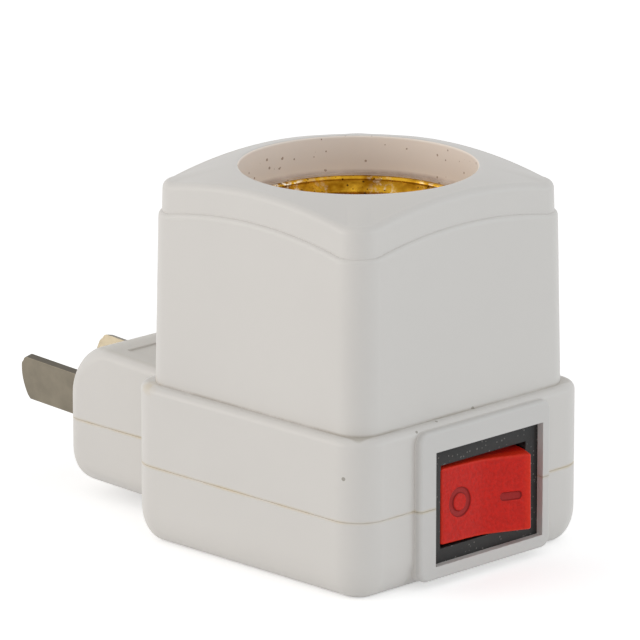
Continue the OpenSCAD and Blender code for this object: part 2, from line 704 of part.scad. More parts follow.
module rocker() {
    color(red_colour) rocker_place(-rocker_tilt) difference() {
        union() {
            linear_extrude(rocker_h, center = true) polygon(rocker_outline());
            cylinder(h = rocker_h + 2*gap + 2*pivot_pin_len, r = pivot_pin_r, center = true);
        }
        translate([0, bore_end, 0]) rotate([-90, 0, 0]) cylinder(h = 2*hub_len, r = bore_r);
        // Ring mark on one half, bar mark on the other
        translate([ring_x, -face_depth(ring_x), 0]) rotate([90, 0, -rocker_slope]) difference() {
            cylinder(h = 2*mark_depth, r = ring_r, center = true);
            cylinder(h = 4*mark_depth, r = ring_r - ring_stroke, center = true);
        }
        translate([bar_x, -face_depth(bar_x), 0]) rotate([0, 0, rocker_slope])
            cube([bar_len, 2*mark_depth, bar_w], center = true);
    }
}
plunger_in = 2.6;
plunger_tip = 6.9;
module plunger() {
    color(steel_colour) rocker_place(-rocker_tilt) rotate([-90, 0, 0]) {
        translate([0, 0, plunger_in]) cylinder(h = plunger_tip - plunger_r - plunger_in, r = plunger_r);
        translate([0, 0, plunger_tip - plunger_r]) sphere(plunger_r);
    }
}

// Round tube along a list of points, with the same frame carried from ring to ring
function unit(v) = v/norm(v);
function tangent(p, i) = unit(p[min(i + 1, len(p) - 1)] - p[max(i - 1, 0)]);
function carry(normal, t) = unit(normal - (normal*t)*t);
function frames(p, i, normal) =
    i >= len(p) ? [] :
    let (t = tangent(p, i), u = carry(normal, t)) concat([[u, cross(t, u)]], frames(p, i + 1, u));
module tube(p, r, sides, start) {
    f = frames(p, 0, start);
    loft([for (i = [0:len(p) - 1])
        [for (k = [0:sides - 1]) let (a = -360*k/sides) p[i] + r*(cos(a)*f[i][0] + sin(a)*f[i][1])]]);
}
spring_turns = 4;
spring_wire_r = 0.14;
spring_r = bore_r - spring_wire_r - 0.12;
module rocker_spring() {
    low = bore_end + spring_wire_r + 0.02;
    high = plunger_in - spring_wire_r - 0.02;
    steps = 9*spring_turns;
    color(steel_colour) rocker_place(-rocker_tilt) rotate([-90, 0, 0])
        tube([for (i = [0:steps]) let (a = 360*spring_turns*i/steps)
            [spring_r*cos(a), spring_r*sin(a), low + (high - low)*i/steps]], spring_wire_r, 6, [1, 0, 0]);
}

// Contact bridge: a seesaw strip on the nose of the common terminal
nose_r = 0.5;
bridge_t = 0.8;
bridge_half = 6.6;
bridge_w = 4;
tip_y = pivot_y + (plunger_tip - plunger_r)*cos(rocker_tilt) + plunger_r;
bridge_y = tip_y + 0.3 + bridge_t;
nose_y = bridge_y + nose_r/2;
contact_r = 1.2;
contact_t = 0.5;
contact_gap = 0.08;
module bridge_place() {
    translate([switch_x, nose_y, rocker_z]) rotate([0, 0, bridge_tilt]) children();
}
module contact_bridge() {
    color(brass_colour) bridge_place() difference() {
        translate([-bridge_half, bridge_y - nose_y - bridge_t, -bridge_w/2])
            cube([2*bridge_half, bridge_t, bridge_w]);
        cylinder(h = 2*bridge_w, r = nose_r + 0.06, center = true);
    }
}
module moving_contact() {
    color(silver_colour) bridge_place()
        translate([load_x, bridge_y - nose_y + 0.01, 0]) rotate([-90, 0, 0])
            cylinder(h = contact_t, r = contact_r);
}
// Height at which the closed contacts meet, when the bridge leans the other way
closed_y = nose_y + (bridge_y - nose_y + contact_t)*cos(bridge_tilt) - load_x*sin(bridge_tilt);
fixed_face_y = closed_y + contact_gap + contact_r*sin(bridge_tilt);
module fixed_contact() {
    color(silver_colour) translate([switch_x + load_x, fixed_face_y, rocker_z]) rotate([-90, 0, 0])
        cylinder(h = contact_t, r = contact_r);
}
terminal_end_y = switch_back_y + terminal_len;
module terminal_blade(x, y0) {
    difference() {
        translate([switch_x + x - terminal_t/2, y0, rocker_z - terminal_w/2])
            cube([terminal_t, terminal_end_y - y0, terminal_w]);
        translate([switch_x + x, terminal_end_y - 2, rocker_z]) rotate([0, 90, 0])
            cylinder(h = 3, r = 0.7, center = true);
    }
}
module common_terminal() {
    color(brass_colour) {
        terminal_blade(0, nose_y);
        translate([switch_x, nose_y, rocker_z]) cylinder(h = terminal_w, r = nose_r, center = true);
    }
}
module load_terminal() {
    color(brass_colour) {
        terminal_blade(load_x, fixed_face_y + contact_t + 0.01);
        translate([switch_x + load_x - 1.3, fixed_face_y + contact_t + 0.01, rocker_z - terminal_w/2])
            cube([2.6, 0.6, terminal_w]);
    }
}

// Wires: smooth curves through a few chosen places
function spline(p, i, t) =
    let (a = p[max(i - 1, 0)], b = p[i], c = p[i + 1], d = p[min(i + 2, len(p) - 1)])
    0.5*(2*b + (c - a)*t + (2*a - 5*b + 4*c - d)*t*t + (3*b - a - 3*c + d)*t*t*t);
function smooth(p, steps) =
    concat([for (i = [0:len(p) - 2]) for (k = [0:steps - 1]) spline(p, i, k/steps)], [p[len(p) - 1]]);
function pin_tail(side, out) = [side*(pin_pitch/2 + out), plug_y - pin_root + 1.6, pin_z - 0.6];
wire_r = wire_d/2;
terminal_y = terminal_end_y - 2;
module wire(points) {
    tube(smooth(points, 3), wire_r, 8, [0, 0, 1]);
}
side_gap = pin_t/2 + wire_r*tan(pin_lean) + gap;
terminal_gap = terminal_t/2 + gap;
lead = 1.25*wire_r;
// Lanes of the loose wires: sideways places and heights
live_x = 4.4;
live_low_z = 5.6;
neutral_x = -3.2;
neutral_z = 11;
switched_x = -13.2;
switched_z = 12.4;
module wire_live() {
    start = pin_tail(1, -side_gap);
    color("#8a4b2a") wire([start, start - [lead, 0, 0], [live_x, start.y - 3*lead, 0.8*start.z],
        [live_x, 0.54*plug_y, 1.2*live_low_z], [live_x, plug_y/3, live_low_z], [live_x, plug_y/8, 1.1*live_low_z],
        [switch_x + terminal_gap + 2.2*lead, terminal_y, (live_low_z + rocker_z)/2],
        [switch_x + terminal_gap + lead, terminal_y, rocker_z],
        [switch_x + terminal_gap, terminal_y, rocker_z]]);
}
module wire_switched() {
    start = [switch_x + load_x - terminal_gap, terminal_y, rocker_z];
    color("#2b2b2b") wire([start, start - [lead, 0, 0], [0.9*switched_x, terminal_y + lead, 0.9*switched_z],
        [switched_x, lead, 1.1*switched_z], [centre_strip_x - 2*lead, 0, tag_z],
        [centre_strip_x - lead, 0, tag_z], [centre_strip_x - gap, 0, tag_z]]);
}
module wire_neutral() {
    start = pin_tail(-1, -side_gap);
    color("#4a6f9c") wire([start, start + [lead, 0, 0], [neutral_x, start.y - 3*lead, neutral_z],
        [neutral_x/2, 0.48*plug_y, 1.2*neutral_z], [0, shell_strip_y + 2.4*lead, tag_z],
        [0, shell_strip_y + lead, tag_z], [0, shell_strip_y + gap, tag_z]]);
}

upper_shell();
lower_shell();
screw_shell();
centre_contact();
shell_strip();
centre_strip();
contact_rivets();
cover_screws();
pin(1);  // live_pin
pin(-1);  // neutral_pin
switch_body();
rocker();
rocker_spring();
plunger();
contact_bridge();
moving_contact();
fixed_contact();
common_terminal();
load_terminal();
wire_live();
wire_switched();
wire_neutral();
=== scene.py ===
"""Plug-in lamp holder: square housing, screw socket on top, rocker switch in front, two flat pins behind."""
import math
from contextlib import contextmanager

import bpy
import bmesh
from mathutils import Matrix, Vector


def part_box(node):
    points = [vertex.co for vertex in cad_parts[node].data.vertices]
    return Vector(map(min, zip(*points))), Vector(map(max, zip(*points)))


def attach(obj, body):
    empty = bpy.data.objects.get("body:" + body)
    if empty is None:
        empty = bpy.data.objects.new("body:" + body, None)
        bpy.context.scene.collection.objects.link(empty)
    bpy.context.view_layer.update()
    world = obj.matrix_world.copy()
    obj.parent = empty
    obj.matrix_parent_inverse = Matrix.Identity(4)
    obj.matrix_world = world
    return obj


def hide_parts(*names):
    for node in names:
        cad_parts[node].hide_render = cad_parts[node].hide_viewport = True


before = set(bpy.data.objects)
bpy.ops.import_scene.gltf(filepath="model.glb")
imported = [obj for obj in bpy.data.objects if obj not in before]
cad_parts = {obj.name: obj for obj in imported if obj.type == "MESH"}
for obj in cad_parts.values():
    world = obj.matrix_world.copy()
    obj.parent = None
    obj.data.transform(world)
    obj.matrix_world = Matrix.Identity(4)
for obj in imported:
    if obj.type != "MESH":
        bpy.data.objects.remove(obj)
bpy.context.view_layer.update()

# Sizes are in millimetres and angles in degrees. MM turns a size into Blender's metres.
MM = 0.001

# Read from the frame
housing_low, housing_high = [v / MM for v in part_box("lower_shell")]
upper_low, upper_high = [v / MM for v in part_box("upper_shell")]
BASE_W = housing_high.x - housing_low.x
BACK_Y = BASE_W / 2
FRONT_Y = -BASE_W / 2
PLUG_Y = housing_high.y
RIM_Z = upper_high.z
SEAM_Z = upper_low.z
BEZEL_FRONT_Y = housing_low.y

# Base
LEDGE_Z = 20.8
BASE_CORNER_R = 4.3
LEDGE_EDGE_R = 1.0
FOOT_IN = 3.0
FOOT_UP = 4.6
WALL = 2.0
SEAM_GROOVE = 0.09
SEAM_LIP_IN = SEAM_GROOVE + 0.03
SEAM_SLIT = 0.02

# Tower. ARCH_R is the radius of the arch that the cap's crease and top edge follow.
TOWER_FOOT_W = 38.2
TOWER_TOP_W = 37.4
TOWER_CORNER_R = 3.6
ARCH_R = 72.0
CAP_H = 4.25
CAP_STEP = 0.45
CAP_EDGE_R = 1.1
SHOULDER_H = 0.75
EDGE_DROP = 0.3
DOME_POWER = 1.3
MOUTH_R = 15.0
RIM_EDGE_R = 0.3
COLLAR_H = 4.8
COLLAR_LOW_Z = RIM_Z - COLLAR_H
WELL_R = 14.05
WELL_FLOOR_Z = 21.0

# Plug body. The rises are in millimetres for each millimetre of length.
PLUG_W = 25.2
PLUG_TOP_Z = 19.85
PLUG_TOP_RISE = math.tan(math.radians(2.5))
PLUG_BOTTOM_Z = 1.5
PLUG_BOTTOM_RISE = math.tan(math.radians(1.4))
PLUG_END_TOP_R = 6.0
PLUG_END_TOP_LEN = 8.0
PLUG_END_LOW_R = 3.8
PLUG_CORNER_R = 2.7
PLUG_EDGE_R = 1.3
PLUG_END_EDGE_R = 4.0
PLUG_END_FROM_Y = 33.0
PLUG_BELLY_R = 3.0
PLUG_RING_YS = [BACK_Y + step for step in (-4, 2, 8)]
END_WALL = 2.4
PANEL_DEPTH = 0.2
PANEL_Y = 32.0
PANEL_W = 19.6

# Frame round the switch, and the switch's flange in its pocket
BEZEL_W = 23.4
BEZEL_H = 19.3
BEZEL_X = 0.9
BEZEL_Z = 10.65
BEZEL_R = 1.4
BEZEL_EDGE_R = 0.5
BEZEL_LIP = 0.95
BEZEL_WINDOW_W = 19.2
BEZEL_WINDOW_H = 14.75
BEZEL_WINDOW_X = 1.53
BEZEL_WINDOW_Z = 10.1
SWITCH_X = 1.38
SWITCH_Z = 10.0
FLANGE_W = 21.0
FLANGE_H = 15.0
FLANGE_T = 1.6
FLANGE_FIT = 0.1
POCKET_FRONT_Y = BEZEL_FRONT_Y + BEZEL_LIP
FLANGE_FRONT_Y = POCKET_FRONT_Y + 0.05
FLANGE_BACK_Y = FLANGE_FRONT_Y + FLANGE_T
WINDOW_W = 15.24
WINDOW_Z = (4.5, 15.25)

# Rocker. SKEW turns it in its own plane, LEAN brings its face out toward the bottom.
PIVOT_Y = FLANGE_FRONT_Y + 1.65
ROCKER_R = 7.55
ROCKER_HALF_X = 7.1
ROCKER_HALF_Z = 4.875
ROCKER_END_R = 0.4
ROCKER_SIDE_R = 0.3
ROCKER_LOW = 0.4
ROCKER_TILT = 9.0
ROCKER_SKEW = 1.8
ROCKER_LEAN = 0.055
ROCKER_SLOPE = 9.5
ROCKER_FACE = 1.45
ROCKER_DISH = 1.2
SKIRT_LIFT = 0.35
SKIRT_BACK = 1.4
SKIRT_STEPS = 8
FACE_NX, FACE_NZ = 220, 140
GRID_PULL = 0.35
HUB_R = 2.5
HUB_LEN = 4.6
HUB_EDGE = 0.2
BORE_R = 1.3
BORE_END = 0.9

# Marks on the rocker: a ring at the pressed end and a bar at the raised end
RING_X, RING_Z = -3.75, 0.07
RING_R = 1.87
RING_STROKE = 0.72
BAR_X, BAR_Z = 4.2, -0.3
BAR_LEN = 3.0
BAR_W = 1.0
MARK_DEPTH = 0.24
MARK_SOFT = 0.12
# Widths of the painted highlight on the rocker's rim, at the raised end and along the other edges
RAISED_END_HIGHLIGHT = 1.5
EDGE_HIGHLIGHT = 0.5

# Screw shell
THREAD_R = 13.55
THREAD_DEPTH = 1.1
THREAD_PITCH = 3.63
THREAD_FADE = 2.0
NECK_IN = 0.15
NECK_R = THREAD_R - THREAD_DEPTH / 2 - NECK_IN
SHELL_T = 0.3
SHELL_FOOT_R = 0.15
SHELL_FOOT_IN = 0.25
SHELL_SEAT = 0.01
BEAD_R = 0.45
BEAD_MID_R = 14.0
BEAD_SINK = 0.15
BEAD_Z = COLLAR_LOW_Z - BEAD_SINK - BEAD_R
BEAD_FIT = 0.05
BEAD_SEAT = 0.02
FLANGE_HOLE_R = 9.3

# Pins
PIN_PITCH = 12.7
PIN_W = 6.35
PIN_T = 1.1
PIN_LEAN = 13.0
PIN_RISE = 3.0
PIN_Z = 11.1
PIN_OUT = 14.1
PIN_TIP_R = 7.6
PIN_TOP_R = 0.85
PIN_LOW_R = 0.3
PIN_EDGE_R = 0.28
PIN_FIT = 0.12
PIN_ROOT = 12.6
STOP_LEN = 2.4
STOP_W = 8.4
STOP_GAP = 0.1
TAIL_W = 4.5
TAIL_OVERLAP = 0.5
WIRE_HOLE_R = 0.8
WIRE_HOLE_IN = 1.6

# Screw posts and their counterbores in the lower shell
POST_XY = 14.2
POST_R = 3.1
POST_LOW_Z = 2.5
HOLE_R = 2.3
HOLE_EDGE_R = 0.3
HOLE_DEPTH = 4.6
SCREW_PLACES = [(-POST_XY, -POST_XY), (POST_XY, -POST_XY), (0, PLUG_Y - 10.5)]

# How far cutters run past the shapes that they cut
CUT_OVER = 3.0
BEYOND = 40.0

# Camera, worked out from the housing's edges in the photograph, whose middle lies at CENTRE_PX
CAMERA_AZIMUTH, CAMERA_ELEVATION, CAMERA_ROLL = -45.218, 15.408, -0.099
CAMERA_AIM_Z = 28.707
CAMERA_DISTANCE = 839.16
FOCAL_PX = 6671.755
CENTRE_PX = (358.038, 319.866)
IMAGE_PX = 640
SENSOR_W = 36.0

# Light: name, place in metres, power in watts and colour of each lamp, then the surround's strengths
LAMPS = [("key", (-1.3, 0.9, 0.45), 6, (1.0, 0.94, 0.86)), ("fill", (0.9, -1.3, 0.45), 3, (0.78, 0.92, 1.0))]
LAMP_SIZE = 1.0
LAMP_AIM = (0, 0, 0.02)
HORIZON_LIGHT = 0.97
ZENITH_LIGHT = 0.5
FLOOR_HALF = 3000.0
FLOOR_GREY = 0.9
FLOOR_LIFT = 0.45


def linear(r, g, b):
    """Colour written as 0 to 255 screen values, in the linear scale that the shaders use."""
    shares = [c / 255 for c in (r, g, b)]
    return tuple(c / 12.92 if c <= 0.04045 else ((c + 0.055) / 1.055) ** 2.4 for c in shares)


OFF_WHITE = linear(220, 217, 213)
SEAM_DIRT = linear(212, 199, 174)
# Painted shade for the crease at the tower's foot
CREASE_SHADE = linear(168, 160, 146)
# Painted warm reflected light on the collar's inner wall
COLLAR_WARM_LIGHT = linear(247, 236, 226)
# Dust on the collar's wall, and dirt with painted shade on the ledge above the bead
COLLAR_DUST_AND_SHADE = linear(150, 118, 92)
SPECK_GREY = linear(120, 112, 98)
FRAME_TINT = (0.92, 0.93, 0.94)
# Painted shade on the plug's flat top
PLUG_TOP_SHADE = (0.9, 0.89, 0.86)
ROCKER_RED = linear(206, 28, 15)
# Painted highlight on the rocker's rim
RIM_HIGHLIGHT_RED = linear(232, 52, 24)
MARK_RED = linear(164, 36, 34)
# Painted shade on the walls of the rocker's cut marks
MARK_WALL_SHADE = linear(104, 8, 10)
SHELL_GOLD = linear(216, 166, 48)
TARNISH = linear(158, 108, 14)
TARNISH_DARK = linear(92, 60, 18)
# Painted glints on the screw shell
GLINT_PALE = linear(236, 226, 206)

# Places and radii of the dark spots, and of the yellow stain
SPOTS = [((-10.9, -18.3, 47.2), 0.16), ((-10.3, -20.6, 20.5), 0.3), ((1.0, -19.0, 20.8), 0.3),
         ((-6.2, -19.8, 20.8), 0.2), ((-20.3, -17.7, 15.9), 0.26), ((-18.4, 13.3, 43.1), 0.2)]
STAIN_PLACE = (-19.9, 17.2, 20.8)
STAIN_R = 2.0


# Helpers for meshes

def link(obj):
    bpy.context.scene.collection.objects.link(obj)
    return obj


def make_object(name, verts, faces, smooth_angle=35):
    """Mesh object from points in millimetres."""
    mesh = bpy.data.meshes.new(name)
    mesh.from_pydata([(x * MM, y * MM, z * MM) for x, y, z in verts], [], faces)
    mesh.validate()
    obj = link(bpy.data.objects.new(name, mesh))
    tidy_normals(obj)
    shade(obj, smooth_angle)
    return obj


@contextmanager
def mesh_edit(obj):
    """Opens an object's mesh for the bmesh operators, and writes it back."""
    bm = bmesh.new()
    bm.from_mesh(obj.data)
    yield bm
    bm.to_mesh(obj.data)
    bm.free()


def tidy_normals(obj, merge=0.0):
    """Points the faces outwards, after joining the points that lie closer than merge."""
    with mesh_edit(obj) as bm:
        if merge > 0:
            bmesh.ops.remove_doubles(bm, verts=bm.verts, dist=merge * MM)
        bmesh.ops.recalc_face_normals(bm, faces=bm.faces)


def shade(obj, angle):
    """Smooth shading, with a hard line where faces meet at more than the angle."""
    mesh = obj.data
    mesh.polygons.foreach_set("use_smooth", [True] * len(mesh.polygons))
    mesh.set_sharp_from_angle(angle=math.radians(angle))
    mesh.update()


def apply_modifiers(obj):
    """Bakes the modifiers into the mesh, so that none stays live."""
    bpy.context.view_layer.update()
    graph = bpy.context.evaluated_depsgraph_get()
    mesh = bpy.data.meshes.new_from_object(obj.evaluated_get(graph), depsgraph=graph)
    obj.modifiers.clear()
    old = obj.data
    obj.data = mesh
    bpy.data.meshes.remove(old)
    return obj


def combine(obj, others, operation):
    """Adds or cuts other closed meshes, then removes them."""
    for other in others:
        modifier = obj.modifiers.new("combine", "BOOLEAN")
        modifier.operation = operation
        modifier.solver = "EXACT"
        modifier.object = other
    apply_modifiers(obj)
    for other in others:
        mesh = other.data
        bpy.data.objects.remove(other)
        bpy.data.meshes.remove(mesh)
    return obj


def weigh_normals(obj):
    modifier = obj.modifiers.new("weighted", "WEIGHTED_NORMAL")
    modifier.keep_sharp = True
    modifier.weight = 90
    return apply_modifiers(obj)


def soften(obj, width, segments=2, angle=30):
    """Rounds the sharp edges of a piece."""
    modifier = obj.modifiers.new("soft edges", "BEVEL")
    modifier.width = width * MM
    modifier.segments = segments
    modifier.limit_method = "ANGLE"
    modifier.angle_limit = math.radians(angle)
    modifier.harden_normals = False
    apply_modifiers(obj)
    shade(obj, 40)
    return weigh_normals(obj)


def from_node(node, width):
    """Copy of a CAD node with its loose triangles joined and its edges rounded."""
    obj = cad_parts[node].copy()
    obj.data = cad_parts[node].data.copy()
    obj.data.materials.clear()
    obj.name = node + "_finished"
    obj.parent = None
    for key in [k for k in obj.keys() if k.startswith("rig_")]:
        del obj[key]
    link(obj)
    with mesh_edit(obj) as bm:
        bmesh.ops.remove_doubles(bm, verts=bm.verts, dist=0.0005 * MM)
        bmesh.ops.dissolve_limit(bm, angle_limit=math.radians(1), verts=bm.verts, edges=bm.edges)
    return soften(obj, width)


def moved(obj, x, y, z, turn=Matrix()):
    """Turns a mesh about the origin, then moves it."""
    obj.data.transform(Matrix.Translation((x * MM, y * MM, z * MM)) @ turn)
    return obj


def stack_rings(name, rings):
    """Closed solid through a stack of rings with the same number of points."""
    n = len(rings[0])
    verts = [p for ring in rings for p in ring]
    faces = [tuple(range(n)), tuple((len(rings) - 1) * n + i for i in range(n))]
    for k in range(len(rings) - 1):
        for i in range(n):
            j = (i + 1) % n
            faces.append((k * n + i, k * n + j, (k + 1) * n + j, (k + 1) * n + i))
    return make_object(name, verts, faces)


def revolve(name, profile, steps=144):
    """Closed solid of revolution about Z from (radius, height) points that start and end on the axis."""
    inner = profile[1:-1]
    verts = [(0, 0, profile[0][1]), (0, 0, profile[-1][1])]
    for k in range(steps):
        a = 2 * math.pi * k / steps
        verts += [(r * math.cos(a), r * math.sin(a), z) for r, z in inner]
    m = len(inner)
    faces = []
    for k in range(steps):
        a, b = 2 + k * m, 2 + ((k + 1) % steps) * m
        faces.append((0, a, b))
        faces.append((1, b + m - 1, a + m - 1))
        for i in range(m - 1):
            faces.append((a + i, a + i + 1, b + i + 1, b + i))
    return make_object(name, verts, faces)


def block(name, low, high):
    verts = [(x, y, z) for x in (low[0], high[0]) for y in (low[1], high[1]) for z in (low[2], high[2])]
    faces = [(0, 1, 3, 2), (4, 6, 7, 5), (0, 4, 5, 1), (2, 3, 7, 6), (0, 2, 6, 4), (1, 5, 7, 3)]
    return make_object(name, verts, faces)


def arc(cx, cy, r, a0, a1, steps):
    return [(cx + r * math.cos(math.radians(a0 + (a1 - a0) * i / steps)),
             cy + r * math.sin(math.radians(a0 + (a1 - a0) * i / steps))) for i in range(steps + 1)]


def rounded_outline(w, d, r, steps, side_steps=1):
    """Points of a rounded rectangle, running anticlockwise."""
    x, y = w / 2 - r, d / 2 - r
    arcs = [arc(x, y, r, 0, 90, steps), arc(-x, y, r, 90, 180, steps),
            arc(-x, -y, r, 180, 270, steps), arc(x, -y, r, 270, 360, steps)]
    points = []
    for k in range(4):
        (x0, y0), (x1, y1) = arcs[k][-1], arcs[(k + 1) % 4][0]
        shares = [i / side_steps for i in range(1, side_steps)]
        points += arcs[k] + [(x0 + (x1 - x0) * f, y0 + (y1 - y0) * f) for f in shares]
    return points


def fade(f):
    """Soft step from 0 to 1."""
    f = min(max(f, 0), 1)
    return f * f * (3 - 2 * f)


def quarter(steps):
    """Angles from 0 to 90 degrees, in radians."""
    return [math.radians(90 * i / steps) for i in range(steps + 1)]


def round_out(width, height, steps):
    """Rounding that starts level and ends upright, as (inset, rise) pairs."""
    return [(width * (1 - math.sin(a)), height * (1 - math.cos(a))) for a in quarter(steps)]


def round_over(width, height, steps):
    """Rounding that starts upright and ends level, as (inset, distance below the top) pairs."""
    return [(width * (1 - math.cos(a)), height * (1 - math.sin(a))) for a in quarter(steps)]


# Housing

def base_ring(inset, z):
    w = BASE_W - 2 * inset
    return [(x, y, z) for x, y in rounded_outline(w, w, BASE_CORNER_R - inset, 14, 6)]


def seam_edge(up):
    """Rounded lip of one half at the seam, as (inset, height) pairs from the seam outwards."""
    return [(inset, SEAM_Z + up * rise) for inset, rise in round_out(SEAM_LIP_IN, 2 * SEAM_GROOVE, 4)]


def lower_base_form():
    foot = [base_ring(inset, rise) for inset, rise in round_out(FOOT_IN, FOOT_UP, 14)]
    lip = [base_ring(inset, z) for inset, z in reversed(seam_edge(-1))]
    return stack_rings("lower_base", foot + lip)


def upper_base_form():
    lip = [base_ring(inset, z) for inset, z in seam_edge(1)]
    edge = [base_ring(inset, LEDGE_Z - below) for inset, below in round_over(LEDGE_EDGE_R, LEDGE_EDGE_R, 8)]
    return stack_rings("upper_base", lip + edge)


def sag(x, y, flat_end):
    """Dip of the crease and the top edge, which run level round the corners."""
    s = min(abs(x), abs(y), flat_end)
    return ARCH_R - math.sqrt(ARCH_R * ARCH_R - s * s)


def tower_outline(w, inset):
    return rounded_outline(w - 2 * inset, w - 2 * inset, TOWER_CORNER_R - inset, 14, 22)


def arched_ring(w, inset, z):
    return [(x, y, z - sag(x, y, w / 2 - TOWER_CORNER_R)) for x, y in tower_outline(w, inset)]


def blend_rings(a, b, f):
    return [tuple(p[k] * (1 - f) + q[k] * f for k in range(3)) for p, q in zip(a, b)]


def domed_ring(edge, rim, f):
    """Ring between the top edge and the rim, on a slightly domed surface."""
    ring = blend_rings(edge, rim, f)
    return [(x, y, q[2] - (q[2] - p[2]) * (1 - f) ** DOME_POWER)
            for (x, y, _), p, q in zip(ring, edge, rim)]


def tower_form():
    """Tapering tower whose crease, step and top edge follow one arch on each side."""
    crease_z, top_z = RIM_Z - CAP_H, RIM_Z - EDGE_DROP
    foot = [[(x, y, z) for x, y in tower_outline(TOWER_FOOT_W, 0)] for z in (SEAM_Z + WALL, LEDGE_Z)]
    crease_w = TOWER_FOOT_W + (TOWER_TOP_W - TOWER_FOOT_W) * (crease_z - LEDGE_Z) / (RIM_Z - LEDGE_Z)
    shoulder = [arched_ring(crease_w, inset, crease_z - below)
                for inset, below in round_over(CAP_STEP, SHOULDER_H, 8)]
    wall = [blend_rings(foot[1], shoulder[0], i / 8) for i in range(1, 8)]
    edge = [arched_ring(TOWER_TOP_W, CAP_STEP + inset, top_z - below)
            for inset, below in round_over(CAP_EDGE_R, CAP_EDGE_R, 10)]
    cap = [blend_rings(shoulder[-1], edge[0], i / 4) for i in (1, 2, 3)]
    rim_r = MOUTH_R + RIM_EDGE_R
    rim = [(rim_r * math.cos(a), rim_r * math.sin(a), RIM_Z)
           for a in (math.atan2(y, x) for x, y in tower_outline(TOWER_TOP_W, 0))]
    top = [domed_ring(edge[-1], rim, i / 10) for i in range(1, 11)]
    return stack_rings("tower", foot + wall + shoulder + cap + edge + top)


def plug_top(y):
    return PLUG_TOP_Z + (y - BACK_Y) * PLUG_TOP_RISE


def plug_bottom(y):
    return PLUG_BOTTOM_Z + (y - BACK_Y) * PLUG_BOTTOM_RISE


def round_in(d, r):
    """How far a rounding of radius r has drawn in at a distance d from the end."""
    return 0 if d >= r else r - math.sqrt(r * r - (r - d) * (r - d))


def plug_section(y, up):
    """Cross-section of one half of the plug body, from seam to seam."""
    d = PLUG_Y - y
    half = PLUG_W / 2 - round_in(d, PLUG_CORNER_R)
    if up > 0:
        level = plug_top(y) - round_in(d, PLUG_END_TOP_LEN) * PLUG_END_TOP_R / PLUG_END_TOP_LEN
        near_end = fade((y - PLUG_END_FROM_Y) / (PLUG_Y - PLUG_END_FROM_Y))
        r = min(PLUG_EDGE_R + (PLUG_END_EDGE_R - PLUG_EDGE_R) * near_end, level - SEAM_Z - 0.5)
    else:
        level = plug_bottom(y) + round_in(d, PLUG_END_LOW_R)
        r = PLUG_BELLY_R
    right = [(half - inset, z) for inset, z in seam_edge(up)]
    right += [(half - inset, level - up * below) for inset, below in round_over(r, r, 10)]
    return [(x, y, z) for x, z in right + [(-x, z) for x, z in reversed(right)]]


def plug_form(up):
    end_len = PLUG_END_TOP_LEN if up > 0 else PLUG_END_LOW_R
    ys = PLUG_RING_YS + [PLUG_Y - end_len * (1 - math.sin(a)) for a in quarter(24)]
    return stack_rings("plug_half", [plug_section(y, up) for y in ys])


def bezel_form(up):
    """Half of the raised frame, cut level at the seam."""
    rings = []
    for inset, back in round_out(BEZEL_EDGE_R, BEZEL_EDGE_R, 5) + [(0, FRONT_Y + WALL - BEZEL_FRONT_Y)]:
        outline = rounded_outline(BEZEL_W - 2 * inset, BEZEL_H - 2 * inset, BEZEL_R - inset, 8)
        rings.append([(BEZEL_X + x, BEZEL_FRONT_Y + back, BEZEL_Z + z) for x, z in outline])
    form = stack_rings("bezel", rings)
    level = SEAM_Z + SEAM_SLIT * up
    low, high = sorted((level, level + BEYOND * up))
    keep = block("keep", (-BEYOND, BEZEL_FRONT_Y - CUT_OVER, low), (BEYOND, 0, high))
    return combine(form, [keep], "INTERSECT")


def upright_block(name, x, z, w, h, y0, y1):
    return block(name, (x - w / 2, y0, z - h / 2), (x + w / 2, y1, z + h / 2))


def switch_cutters():
    window = upright_block("window", BEZEL_WINDOW_X, BEZEL_WINDOW_Z, BEZEL_WINDOW_W, BEZEL_WINDOW_H,
                           BEZEL_FRONT_Y - 1, FLANGE_FRONT_Y)
    pocket = upright_block("pocket", SWITCH_X, SWITCH_Z, FLANGE_W + 2 * FLANGE_FIT, FLANGE_H + 2 * FLANGE_FIT,
                           POCKET_FRONT_Y, FRONT_Y + WALL + 1)
    return [window, pocket]


def place_pin(obj, side):
    """Puts a mesh made round a pin's own middle line in that pin's place."""
    turn = Matrix.Rotation(math.radians(side * PIN_LEAN), 4, "Y")
    turn @= Matrix.Rotation(math.radians(PIN_RISE), 4, "X")
    return moved(obj, side * PIN_PITCH / 2, PLUG_Y, PIN_Z, turn)


def pin_cutters():
    half_w, half_t = PIN_W / 2 + PIN_FIT, PIN_T / 2 + PIN_FIT
    low, high = (-half_t, -END_WALL - CUT_OVER, -half_w), (half_t, CUT_OVER, half_w)
    return [place_pin(block("slot", low, high), side) for side in (-1, 1)]


def hollow(z0, z1):
    w = BASE_W - 2 * WALL
    outline = rounded_outline(w, w, BASE_CORNER_R - WALL, 8)
    return stack_rings("hollow", [[(x, y, z) for x, y in outline] for z in (z0, z1)])


def plug_hollow(z0, z1):
    half = PLUG_W / 2 - WALL
    return block("plug_hollow", (-half, BACK_Y - WALL - 1, z0), (half, PLUG_Y - END_WALL, z1))


